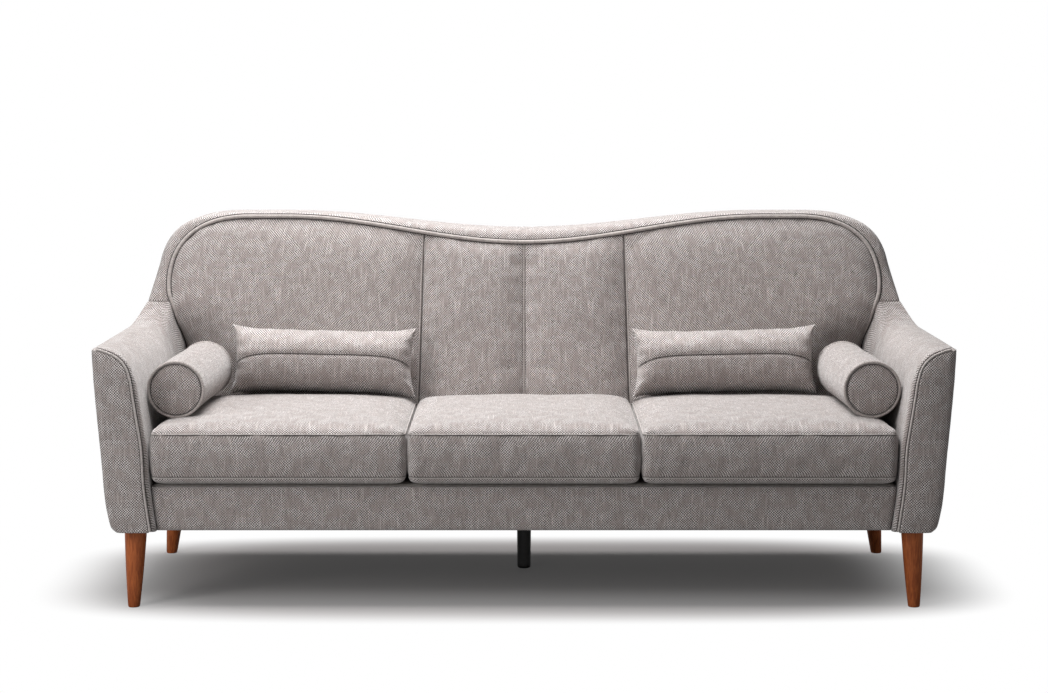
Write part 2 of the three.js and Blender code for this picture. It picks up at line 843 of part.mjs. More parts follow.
// Contoured timber rail under the two humps, behind the panels; it runs into the shoulders
// where they stand above the arms
function backTopRail() {
  const upper = outerContour(borderWall + topRailInset);
  const floor = postTop + touchGap;
  const reach = floor > crossSeamHeight ? outerShoulderHalf : deckHalf;
  const outline = upper.filter((point) => point.y > floor && point.x < reach);
  const end = outline[outline.length - 1];
  const endX = Math.max(end.x, deckHalf);
  if (endX > end.x) {
    outline.push(new THREE.Vector2(endX, end.y));
  }
  outline.push(new THREE.Vector2(endX, floor), new THREE.Vector2(deckHalf - postWidth, floor));
  const lower = upper.filter((point) => point.x <= crestStart);
  outline.push(...lower.reverse().map((point) => new THREE.Vector2(point.x, point.y - topRailHeight)));
  const left = outline.slice(1, -1).map((point) => new THREE.Vector2(-point.x, point.y));
  const rail = plate([...outline, ...left.reverse()], backFrameThickness, 0);
  return raked(reshaped(rail, (x, y, z) => [x, y + backFrameSetback, z]));
}

function backPost() {
  const post = box(
    deckHalf - postWidth,
    deckHalf,
    backFrameSetback,
    backFrameSetback + postDepth,
    railTop + touchGap,
    postTop,
  );
  return raked(post);
}

function backLowerRail() {
  const half = deckHalf - postWidth - touchGap;
  const rear = backFrameSetback + backFrameThickness;
  return raked(box(-half, half, backFrameSetback, rear, lowerRailBottom, lowerRailBottom + lowerRailHeight));
}

function railUnderside(x) {
  const share = Math.min(x / crestStart, 1);
  const rise = (1 - Math.cos(Math.PI * share)) / 2;
  return blend(dipHeight, humpHeight, rise) - borderWall - topRailInset - topRailHeight;
}

function backUpright() {
  const half = uprightWidth / 2;
  const rear = backFrameSetback + backFrameThickness;
  const foot = lowerRailBottom + lowerRailHeight + touchGap;
  return raked(box(-half, half, backFrameSetback, rear, foot, railUnderside(0) - touchGap));
}

function backWeb(x) {
  const half = webWidth / 2;
  const rear = backFrameSetback - touchGap;
  const top = railUnderside(x) + webLap;
  return raked(box(x - half, x + half, rear - webThickness, rear, lowerRailBottom, top));
}

function addBack() {
  const inner = paddedPanel(innerPanelOutline());
  const outer = paddedPanel(outerPanelOutline());
  add("back_panel_inner_right", inner, materials.fabric);
  add("back_panel_inner_left", mirrored(inner), materials.fabric);
  add("back_panel_outer_right", outer, materials.fabric);
  add("back_panel_outer_left", mirrored(outer), materials.fabric);
  add("back_border", backBorder(), materials.fabric);
  add("back_piping", backPiping(), materials.welt);
  add("outside_back_panel", outsideBack(), materials.fabric);
  add("back_top_rail", backTopRail(), materials.timber);
  add("back_lower_rail", backLowerRail(), materials.timber);
  add("back_post_right", backPost(), materials.timber);
  add("back_post_left", mirrored(backPost()), materials.timber);
  add("back_centre_upright", backUpright(), materials.timber);
  for (const [name, x] of [["inner", webInnerX], ["outer", webOuterX]]) {
    add(`back_web_${name}_right`, backWeb(x), materials.webbing);
    add(`back_web_${name}_left`, mirrored(backWeb(x)), materials.webbing);
  }
}

// Rectangle with round corners as a closed ring
function roundedRing(halfX, halfY, radius, z) {
  const ring = [];
  const corners = [[1, 1, 0], [-1, 1, 1], [-1, -1, 2], [1, -1, 3]];
  for (const [sideX, sideY, quarter] of corners) {
    for (let i = 0; i <= seatCornerSteps; i += 1) {
      const angle = (Math.PI / 2) * (quarter + i / seatCornerSteps);
      const x = sideX * (halfX - radius) + radius * Math.cos(angle);
      const y = sideY * (halfY - radius) + radius * Math.sin(angle);
      ring.push([x, y, z]);
    }
    const [nextX, nextY] = corners[(quarter + 1) % corners.length];
    const angle = (Math.PI / 2) * (quarter + 1);
    const from = ring[ring.length - 1];
    const to = [
      nextX * (halfX - radius) + radius * Math.cos(angle),
      nextY * (halfY - radius) + radius * Math.sin(angle),
    ];
    for (let i = 1; i < seatEdgeSteps; i += 1) {
      const share = i / seatEdgeSteps;
      ring.push([blend(from[0], to[0], share), blend(from[1], to[1], share), z]);
    }
  }
  return ring;
}

function seatRise(share) {
  return seatCrown * (1 - share ** seatCrownEdgePower) ** seatCrownRisePower;
}

// Box cushion: curved under, full boxing drawn in at both seams, crowned top
function seatCushion(halfX) {
  const halfY = (seatRear - seatFront) / 2;
  const floor = deckTop + touchGap;
  const middle = (seatLowerSeam + seatTopSeam) / 2;
  const insetRing = (inset, z) => roundedRing(halfX - inset, halfY - inset, seatCornerRadius - inset / 2, z);
  const rings = [
    [[0, 0, floor]],
    insetRing(seatUndercut, floor),
    insetRing(seatUndercutStep, floor + seatUndercutRise),
    insetRing(seatSeamDraw, seatLowerSeam),
    insetRing(0, middle),
    insetRing(seatSeamDraw, seatTopSeam),
    insetRing(seatTopRoll, seatTopSeam + seatTopRollRise),
  ];
  for (const share of seatRingShares) {
    const z = seatTopSeam + seatRise(share);
    rings.push(roundedRing(halfX * share, halfY * share, seatCornerRadius * share, z));
  }
  rings.push([[0, 0, seatTopSeam + seatCrown]]);
  return ringSkin(rings, ([x, y]) => new THREE.Vector2(x, y));
}

function sideCushionHalf() {
  return (seatOuterHalf - seatDivision) / 2 - touchGap / 2;
}

function sideCushionX() {
  return seatOuterHalf - sideCushionHalf();
}

function seatMiddleY() {
  return (seatFront + seatRear) / 2;
}

// Height of a side cushion's faceted crown under a point
function seatHeight(x, y) {
  const half = sideCushionHalf();
  const across = Math.abs(Math.abs(x) - sideCushionX()) / half;
  const along = Math.abs(y - seatMiddleY()) / ((seatRear - seatFront) / 2);
  const share = Math.min(Math.max(across, along), 1);
  const levels = [[1, 0], [1 - seatTopRoll / half, seatTopRollRise]];
  levels.push(...seatRingShares.map((ring) => [ring, seatRise(ring)]), [0, seatCrown]);
  const inner = levels.findIndex(([ring]) => ring < share || ring === 0);
  const [outerShare, outerRise] = levels[Math.max(inner - 1, 0)];
  const [innerShare, innerRise] = levels[inner];
  return seatTopSeam + blend(outerRise, innerRise, (outerShare - share) / (outerShare - innerShare));
}

function addSeat() {
  const middleHalf = seatDivision - softGap;
  const centre = add("seat_cushion_centre", seatCushion(middleHalf), materials.fabric);
  centre.position.set(0, seatMiddleY(), 0);
  for (const [side, turn] of [["right", 1], ["left", -1]]) {
    const cushion = add(`seat_cushion_${side}`, seatCushion(sideCushionHalf()), materials.fabric);
    cushion.position.set(turn * sideCushionX(), seatMiddleY(), 0);
  }
}

// Bolster turned about its own axis, with a welted and crowned disc at each end
function bolster() {
  const half = bolsterLength / 2;
  const rim = bolsterRadius - bolsterWeltRadius;
  const face = half - bolsterEndCrown;
  const end = [
    [0, half],
    [rim / 2, half - bolsterEndCrown / 4],
    [rim - bolsterWeltGroove, face],
    [rim, face + bolsterWeltGroove],
    [bolsterRadius, face],
    [bolsterRadius, face - bolsterWeltRadius],
    [bolsterRadius - bolsterWeltGroove, face - 2 * bolsterWeltRadius],
    [bolsterRadius, face - 4 * bolsterWeltRadius],
  ];
  const profile = end.map(([r, y]) => new THREE.Vector2(r, -y));
  profile.push(...end.reverse().map(([r, y]) => new THREE.Vector2(r, y)));
  return facingOut(new THREE.LatheGeometry(profile, bolsterSides));
}

// Lowest axis height that keeps a bolster clear of the cushion's crown
function bolsterHeight(frontX) {
  const places = [
    [frontX, bolsterFront],
    [frontX - bolsterTurnIn / 2, bolsterFront + bolsterLength / 2],
    [frontX - bolsterTurnIn, bolsterFront + bolsterLength],
  ];
  let height = 0;
  for (let i = -bolsterSides; i <= bolsterSides; i += 1) {
    const offset = (bolsterRadius * i) / bolsterSides;
    const reach = Math.sqrt(bolsterRadius ** 2 - offset ** 2);
    for (const [x, y] of places) {
      height = Math.max(height, seatHeight(x + offset, y) + reach);
    }
  }
  return height + touchGap;
}

// Widest place of a bolster's front end that keeps it clear of the arm's inner face
function bolsterAcross(height) {
  const ring = armRing(bolsterFront, 0);
  let across = halfWidth;
  for (let i = -bolsterSides; i <= bolsterSides; i += 1) {
    const offset = (bolsterRadius * i) / bolsterSides;
    const reach = Math.sqrt(bolsterRadius ** 2 - offset ** 2);
    across = Math.min(across, spanAt(ring, height + offset)[0] - reach);
  }
  return across - bolsterArmGap;
}

// Moves a bolster down onto the cushion and out towards the arm in turn
function settledBolster() {
  let frontX = armInnerFoot - bolsterRadius;
  let height = bolsterHeight(frontX);
  for (let pass = 0; pass < settlePasses; pass += 1) {
    frontX = bolsterAcross(height);
    height = bolsterHeight(frontX);
  }
  return { frontX, rearX: frontX - bolsterTurnIn, height };
}

const bolsterPlace = settledBolster();

function addBolsters() {
  const middleX = (bolsterPlace.frontX + bolsterPlace.rearX) / 2;
  const turn = Math.asin(bolsterTurnIn / bolsterLength);
  for (const [side, way] of [["right", 1], ["left", -1]]) {
    const roll = add(`bolster_${side}`, bolster(), materials.fabric);
    roll.position.set(way * middleX, bolsterFront + bolsterLength / 2, bolsterPlace.height);
    roll.rotation.z = way * turn;
  }
}

// Knife-edged pillow: pointed corners, pinched short sides, sagging long edges, seam across
function pillowPoint(u, v, face) {
  const fall = (1 - Math.abs(u) ** pillowEdgePower) ** pillowRisePower;
  const swell = (1 - Math.abs(v) ** pillowEdgePower) ** pillowRisePower;
  const seam = 1 - pillowSeamDrawShare * Math.max(1 - Math.abs(v) / pillowSeamHalfShare, 0);
  const x = (pillowWidth / 2) * u * (1 - pillowPinchShare * (1 - v * v) * u * u);
  const z = (pillowHeight / 2) * v * (1 - pillowSagShare * (1 - u * u) * v * v);
  return [x, (face * pillowThickness * fall * swell * seam) / 2, z];
}

function pillow() {
  const points = [];
  const triangles = [];
  const columns = pillowColumnShares.length;
  const rows = pillowRowShares.length;
  for (const face of [-1, 1]) {
    const start = points.length;
    for (const v of pillowRowShares) {
      for (const u of pillowColumnShares) {
        points.push(pillowPoint(u, v, face));
      }
    }
    for (let r = 0; r + 1 < rows; r += 1) {
      for (let c = 0; c + 1 < columns; c += 1) {
        const a = start + r * columns + c;
        const b = a + 1;
        const d = a + columns;
        const e = d + 1;
        const rising = (c < (columns - 1) / 2) === (r < (rows - 1) / 2);
        const pair = rising ? [[a, b, e], [a, e, d]] : [[a, b, d], [b, e, d]];
        for (const triangle of pair) {
          triangles.push(face < 0 ? triangle : triangle.reverse());
        }
      }
    }
  }
  return surface(points, triangles);
}

// Front surface of the padded back that a pillow may touch
function paddedFront(z) {
  return frontPlane(z) + panelRimSetback - panelCrown;
}

// Drops a leaning pillow onto the seat crown and slides it back to the padded back
function settledPillow() {
  const shape = pillow().rotateX(-pillowLean);
  const place = shape.attributes.position;
  const middleX = bolsterPlace.rearX - bolsterRadius + pillowCornerLap - pillowWidth / 2;
  let slide = overallDepth;
  let lift = 0;
  for (let pass = 0; pass < settlePasses; pass += 1) {
    slide = overallDepth;
    for (let i = 0; i < place.count; i += 1) {
      slide = Math.min(slide, paddedFront(place.getZ(i) + lift) - place.getY(i));
    }
    slide -= touchGap;
    lift = 0;
    for (let i = 0; i < place.count; i += 1) {
      const height = seatHeight(place.getX(i) + middleX, place.getY(i) + slide);
      lift = Math.max(lift, height - place.getZ(i));
    }
    lift += touchGap;
  }
  return { shape, middleX, slide, lift };
}

function addPillows() {
  const { shape, middleX, slide, lift } = settledPillow();
  for (const [side, way] of [["right", 1], ["left", -1]]) {
    const piece = add(`pillow_${side}`, shape, materials.fabric);
    piece.position.set(way * middleX, slide, lift);
  }
}

// Zigzag wire springs between the front and back rails, joined by clips and tie wires
function springUnit(middleX, halfSpan) {
  const front = frameFront + railThickness + touchGap;
  const rear = frameRear - railThickness - touchGap;
  const length = rear - front - clipDepth;
  const start = front + clipDepth / 2;
  const pieces = [];
  const places = [];
  for (let i = 0; i < springsPerSeat; i += 1) {
    const share = springsPerSeat > 1 ? i / (springsPerSeat - 1) : 1 / 2;
    places.push(middleX + blend(-halfSpan, halfSpan, share));
  }
  for (const x of places) {
    const points = [];
    const steps = springHalfWaves * springStepsPerWave;
    for (let i = 0; i <= steps; i += 1) {
      const phase = (Math.PI * i) / springStepsPerWave;
      const share = i / steps;
      const height = springEndHeight + springRise * Math.sin(Math.PI * share);
      const along = start + length * share - springLoopBulge * Math.sin(2 * phase);
      points.push(new THREE.Vector3(x + springHalfWidth * Math.sin(phase), along, height));
    }
    pieces.push(cord(new THREE.CatmullRomCurve3(points), springWireRadius, steps, springSides));
    for (const y of [front, rear - clipDepth]) {
      const low = springEndHeight - clipHeight / 2;
      pieces.push(box(x - clipWidth / 2, x + clipWidth / 2, y, y + clipDepth, low, low + clipHeight));
    }
  }
  for (const share of tieShares) {
    const steps = springHalfWaves * springStepsPerWave;
    const near = Math.round(share * steps) / steps;
    const height = springEndHeight + springRise * Math.sin(Math.PI * near);
    const y = start + length * near;
    const tie = new THREE.LineCurve3(
      new THREE.Vector3(places[0] - springHalfWidth, y, height),
      new THREE.Vector3(places[places.length - 1] + springHalfWidth, y, height),
    );
    pieces.push(cord(tie, tieRadius, 1, tieSides));
  }
  return joined(...pieces);
}

function addSprings() {
  const centreSpan = seatDivision - springSideMargin;
  add("seat_spring_centre", springUnit(0, centreSpan), materials.steel);
  const sideSpan = sideCushionHalf() - springSideMargin;
  for (const [side, way] of [["right", 1], ["left", -1]]) {
    add(`seat_spring_${side}`, springUnit(way * sideCushionX(), sideSpan), materials.steel);
  }
}

function studHole(x, y) {
  const depth = studLength + 2 * cutOverrun;
  const radius = studRadius + studClearance;
  const hole = new THREE.CylinderGeometry(radius, radius, depth, holeSides);
  hole.rotateX(Math.PI / 2);
  hole.translate(x, y, bodyBottom + studLength + studClearance - depth / 2);
  return hole;
}

function addFrame() {
  const inner = frameHalfWidth - railThickness;
  const rear = frameRear - railThickness;
  const front = frameFront + railThickness;
  const half = frameHalfWidth;
  add("front_rail", box(-half, half, frameFront, front, railBottom, railTop), materials.timber);
  add("back_rail", box(-half, half, rear, frameRear, railBottom, railTop), materials.timber);
  const sideRail = box(inner, frameHalfWidth, front + touchGap, rear - touchGap, railBottom, railTop);
  add("side_rail_right", sideRail, materials.timber);
  add("side_rail_left", mirrored(sideRail), materials.timber);
  const stretcher = box(
    stretcherX - stretcherWidth / 2,
    stretcherX + stretcherWidth / 2,
    front + touchGap,
    rear - touchGap,
    railBottom,
    springEndHeight - clipHeight / 2 - stretcherSpringGap,
  );
  add("centre_stretcher", cut(stretcher, studHole(stretcherX, centreLegY)), materials.timber);
  const blockInner = frameHalfWidth + touchGap;
  const blockTop = blockBottom + blockHeight;
  const frontEnd = frontLegY + frontBlockPastLeg;
  const rearStart = backLegY - rearBlockBeforeLeg;
  const frontBlock = box(blockInner, blockOuter, frameFront, frontEnd, blockBottom, blockTop);
  const rearBlock = box(blockInner, blockOuter, rearStart, rearBlockEnd, blockBottom, blockTop);
  const drilledFront = cut(frontBlock, studHole(frontLegX, frontLegY));
  const drilledRear = cut(rearBlock, studHole(backLegX, backLegY));
  add("corner_block_front_right", drilledFront, materials.timber);
  add("corner_block_front_left", mirrored(drilledFront), materials.timber);
  add("corner_block_back_right", drilledRear, materials.timber);
  add("corner_block_back_left", mirrored(drilledRear), materials.timber);
}

function addCovers() {
  const apronHalf = armInnerFoot - apronSideGap;
  const apronTop = deckTop - apronDrop;
  const apron = plate([
    new THREE.Vector2(-apronHalf, bodyBottom),
    new THREE.Vector2(apronHalf, bodyBottom),
    new THREE.Vector2(apronHalf, apronTop),
    new THREE.Vector2(-apronHalf, apronTop),
  ], apronThickness, apronBevel);
  add("front_apron", reshaped(apron, (x, y, z) => [x, y + apronFront, z]), materials.fabric);
  const deckRear = frontPlane(railTop) + backFrameSetback - deckPostGap;
  add("deck_pad", box(-deckHalf, deckHalf, frameFront, deckRear, deckUnderside, deckTop), materials.pad);
  const dustTop = railBottom - touchGap;
  const sheet = box(-frameHalfWidth, frameHalfWidth, frameFront, frameRear, dustTop - dustThickness, dustTop);
  const hole = new THREE.CylinderGeometry(dustHoleRadius, dustHoleRadius, 2 * cutOverrun, plateSides);
  hole.rotateX(Math.PI / 2);
  hole.translate(stretcherX, centreLegY, dustTop);
  add("dust_cover", cut(sheet, hole), materials.cloth);
}

// Turned taper with a slight swell, moved sideways towards its foot, and its stud
function turnedLeg(splayX, splayY) {
  const height = bodyBottom - touchGap;
  const profile = [
    new THREE.Vector2(0, 0),
    new THREE.Vector2(legFootRadius - legChamfer, 0),
    new THREE.Vector2(legFootRadius, legChamfer),
  ];
  for (const share of legSwellShares) {
    const swell = legSwell * Math.sin(Math.PI * share);
    profile.push(new THREE.Vector2(blend(legFootRadius, legTopRadius, share) + swell, height * share));
  }
  profile.push(new THREE.Vector2(legTopRadius, height - legChamfer));
  profile.push(new THREE.Vector2(legTopRadius - legChamfer, height));
  profile.push(new THREE.Vector2(0, height));
  const turned = new THREE.LatheGeometry(profile, legSides).rotateX(Math.PI / 2);
  const taper = reshaped(turned, (x, y, z) => [
    x + (splayX * (height - z)) / height,
    y + (splayY * (height - z)) / height,
    z,
  ]);
  return joined(taper, stud(height));
}

function stud(height) {
  const geometry = new THREE.CylinderGeometry(studRadius, studRadius, studLength + studBury, holeSides);
  geometry.rotateX(Math.PI / 2);
  geometry.translate(0, 0, height - studBury + (studLength + studBury) / 2);
  return geometry;
}

function centreLeg() {
  const height = bodyBottom - touchGap;
  const profile = [new THREE.Vector2(0, 0), new THREE.Vector2(centreLegFootRadius - centreLegRound, 0)];
  for (let i = 1; i <= centreLegRoundSteps; i += 1) {
    const angle = (Math.PI / 2) * (i / centreLegRoundSteps);
    const r = centreLegFootRadius - centreLegRound + centreLegRound * Math.sin(angle);
    profile.push(new THREE.Vector2(r, centreLegRound * (1 - Math.cos(angle))));
  }
  profile.push(new THREE.Vector2(centreLegTopRadius, height), new THREE.Vector2(0, height));
  const turned = new THREE.LatheGeometry(profile, legSides).rotateX(Math.PI / 2);
  return joined(turned, stud(height));
}

// Steel plate between a leg and the timber above it
function legPlate(top) {
  const thickness = top - touchGap - bodyBottom;
  const disc = new THREE.CylinderGeometry(plateRadius, plateRadius, thickness, plateSides);
  disc.rotateX(Math.PI / 2);
  disc.translate(0, 0, bodyBottom + thickness / 2);
  return cut(disc, studHole(0, 0));
}

function addLegs() {
  const places = [
    ["front", frontLegX, frontLegY, frontLegSplayX, frontLegSplayY],
    ["back", backLegX, backLegY, backLegSplayX, backLegSplayY],
  ];
  for (const [row, x, y, splayX, splayY] of places) {
    for (const [side, way] of [["right", 1], ["left", -1]]) {
      const leg = add(`leg_${row}_${side}`, turnedLeg(way * splayX, splayY), materials.walnut);
      leg.position.set(way * x, y, 0);
      const disc = add(`leg_plate_${row}_${side}`, legPlate(blockBottom), materials.steel);
      disc.position.set(way * x, y, 0);
    }
  }
  const middle = add("leg_centre", centreLeg(), materials.black);
  middle.position.set(stretcherX, centreLegY, 0);
  const disc = add("leg_plate_centre", legPlate(railBottom), materials.steel);
  disc.position.set(stretcherX, centreLegY, 0);
}

addFrame();
addLegs();
addSprings();
addCovers();
addArm("right", (geometry) => geometry);
addArm("left", mirrored);
addBack();
addSeat();
addBolsters();
addPillows();

// The origin lies under the middle of the whole sofa
const extent = new THREE.Box3().setFromObject(sofa);
sofa.position.y = -(extent.min.y + extent.max.y) / 2;

export default sofa;
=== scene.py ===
# %% [markdown]
# # A sofa whose back rises in two humps
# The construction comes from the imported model: every timber, spring and plate is already in its place.
# This lesson dresses it. Each padded part gets a cover of woven cloth, with the crown, the seams and
# the small folds that a real cover has, and each hard part gets its own finish. Lengths are metres,
# x runs to the right seen from the front, y to the rear and z up.

# %% Load the frame and keep its size
import math

import bmesh
import bpy
import numpy as np
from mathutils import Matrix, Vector, kdtree
from mathutils.bvhtree import BVHTree


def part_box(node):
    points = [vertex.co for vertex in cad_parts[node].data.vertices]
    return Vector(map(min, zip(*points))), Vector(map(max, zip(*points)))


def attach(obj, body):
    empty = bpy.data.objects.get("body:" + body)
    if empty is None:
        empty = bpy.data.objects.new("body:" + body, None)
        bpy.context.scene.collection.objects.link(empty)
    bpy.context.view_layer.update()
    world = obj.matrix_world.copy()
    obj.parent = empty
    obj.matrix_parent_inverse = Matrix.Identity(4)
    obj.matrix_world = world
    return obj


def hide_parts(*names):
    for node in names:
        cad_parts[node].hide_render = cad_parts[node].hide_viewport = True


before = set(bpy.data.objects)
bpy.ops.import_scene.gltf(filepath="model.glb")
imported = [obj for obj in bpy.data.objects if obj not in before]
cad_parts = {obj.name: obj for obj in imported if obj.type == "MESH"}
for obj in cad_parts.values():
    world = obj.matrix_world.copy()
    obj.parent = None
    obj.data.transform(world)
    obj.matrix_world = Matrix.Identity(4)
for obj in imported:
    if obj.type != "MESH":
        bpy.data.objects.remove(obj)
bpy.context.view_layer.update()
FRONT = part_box("arm_front_panel_right")[0].y
HALF_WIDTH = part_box("arm_cover_right")[1].x
print("loaded", len(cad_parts), "pieces, front at", round(FRONT, 4), "half width", round(HALF_WIDTH, 4))

# %% [markdown]
# ## The camera
# The camera stands a little over five metres in front of the sofa, a bit above its back, and looks
# slightly down. The lens and the tilt come from the lines of the legs, the arms and the back in the
# photograph. It comes first, because every later piece is judged from here.

# %% Stand the camera
CAMERA_DISTANCE = 5.6
CAMERA_HEIGHT = 1.2636
CAMERA_TILT_DOWN = math.radians(6.234)
CAMERA_LENS = 80.66

camera_data = bpy.data.cameras.new("camera")
camera_data.lens = CAMERA_LENS
camera_data.sensor_width = 36
camera = bpy.data.objects.new("camera", camera_data)
camera.location = (0, FRONT - CAMERA_DISTANCE, CAMERA_HEIGHT)
camera.rotation_euler = (math.pi / 2 - CAMERA_TILT_DOWN, 0, 0)
bpy.context.scene.collection.objects.link(camera)
bpy.context.scene.camera = camera
print("camera at", [round(value, 3) for value in camera.location])

# %% [markdown]
# ## Shader helpers
# A finish is a small tree of nodes. These helpers add a node, set its inputs and join it to others,
# so that each finish below reads as a list of what it mixes.

# %% Helpers that add and join shader nodes
def node(tree, kind, settings=None, **inputs):
    """Add a node; inputs are numbers, colours or the sockets that feed them."""
    made = tree.nodes.new(kind)
    for name, value in (settings or {}).items():
        setattr(made, name, value)
    for name, value in inputs.items():
        key = int(name[1:]) if name[0] == "i" and name[1:].isdigit() else name.replace("_", " ")
        socket = made.inputs[key]
        if isinstance(value, bpy.types.NodeSocket):
            tree.links.new(value, socket)
        else:
            socket.default_value = value
    return made


def maths(tree, operation, first, second=0.0):
    return node(tree, "ShaderNodeMath", {"operation": operation}, i0=first, i1=second).outputs[0]


def mixed(tree, share, first, second, mode="MIX"):
    made = tree.nodes.new("ShaderNodeMix")
    made.data_type = "RGBA"
    made.blend_type = mode
    for index, value in ((0, share), (6, first), (7, second)):
        if isinstance(value, bpy.types.NodeSocket):
            tree.links.new(value, made.inputs[index])
        else:
            made.inputs[index].default_value = value
    return made.outputs[2]


def spread(tree, value, low, high, to_low=0.0, to_high=1.0):
    """Map a range of values to another, smoothly and without overshoot."""
    made = node(tree, "ShaderNodeMapRange", {"interpolation_type": "SMOOTHSTEP"}, Value=value)
    for index, number in ((1, low), (2, high), (3, to_low), (4, to_high)):
        made.inputs[index].default_value = number
    return made.outputs[0]


def stretched(tree, vector, scale):
    made = node(tree, "ShaderNodeMapping", None, Vector=vector)
    made.inputs["Scale"].default_value = scale
    return made.outputs[0]


def noise(tree, vector, scale, detail, rough):
    made = node(tree, "ShaderNodeTexNoise", None, Vector=vector, Scale=scale, Detail=detail, Roughness=rough)
    return made.outputs["Fac"]


def grey_of(tree, value):
    """A grey as light as a value."""
    return node(tree, "ShaderNodeCombineColor", None, Red=value, Green=value, Blue=value).outputs[0]


def bumped(tree, shader, height, strength, distance):
    """Let a height pattern turn the surface's shading."""
    bump = node(tree, "ShaderNodeBump", None, Strength=strength, Distance=distance, Height=height)
    tree.links.new(bump.outputs[0], shader.inputs["Normal"])


def new_group(name, inputs, outputs, kind="ShaderNodeTree"):
    """A node group with named sockets; inputs give a type and a starting value."""
    tree = bpy.data.node_groups.new(name, kind)
    for label, kind, value in inputs:
        socket = tree.interface.new_socket(name=label, in_out="INPUT", socket_type=kind)
        if value is not None:
            socket.default_value = value
    for label, kind in outputs:
        tree.interface.new_socket(name=label, in_out="OUTPUT", socket_type=kind)
    return tree, tree.nodes.new("NodeGroupInput").outputs, tree.nodes.new("NodeGroupOutput").inputs


def colour(red, green, blue):
    """A colour from the eight-bit values that a painter's chart gives."""
    def straight(value):
        share = value / 255
        return share / 12.92 if share <= 0.04045 else ((share + 0.055) / 1.055) ** 2.4
    return (straight(red), straight(green), straight(blue), 1.0)


def new_finish(name, roughness, sheen=0.0, metallic=0.0):
    material = bpy.data.materials.new(name)
    material.use_nodes = True
    tree = material.node_tree
    shader = tree.nodes["Principled BSDF"]
    shader.inputs["Roughness"].default_value = roughness
    shader.inputs["Sheen Weight"].default_value = sheen
    shader.inputs["Metallic"].default_value = metallic
    return material, tree, shader


print("shader helpers ready")

# %% [markdown]
# ## The woven cloth
# The cover is a melange cloth: grey-taupe yarns of several shades, woven so that small diagonal
# points of light and dark show, with thicker light yarns here and there along the warp. The pattern
# is computed from the cloth's own flat coordinates, in metres, so the weave follows every bend and
# keeps its size on each piece. One node group makes it, and each cloth sets its own shades.

# %% The weave as a shader group
WEAVE_PITCH = 0.0064
YARN_PITCH = 0.0014
YARN_DRIFT = 0.0034
FLECK_SHARE = 0.85
CLOUD_SHARE = 0.2
MOTTLE_SHARE = 1.15
DARKEST_YARN = 0.12
PALE_LIMIT = 1.8
PALE_YARN = 0.29
FULL_TURN = 2 * math.pi


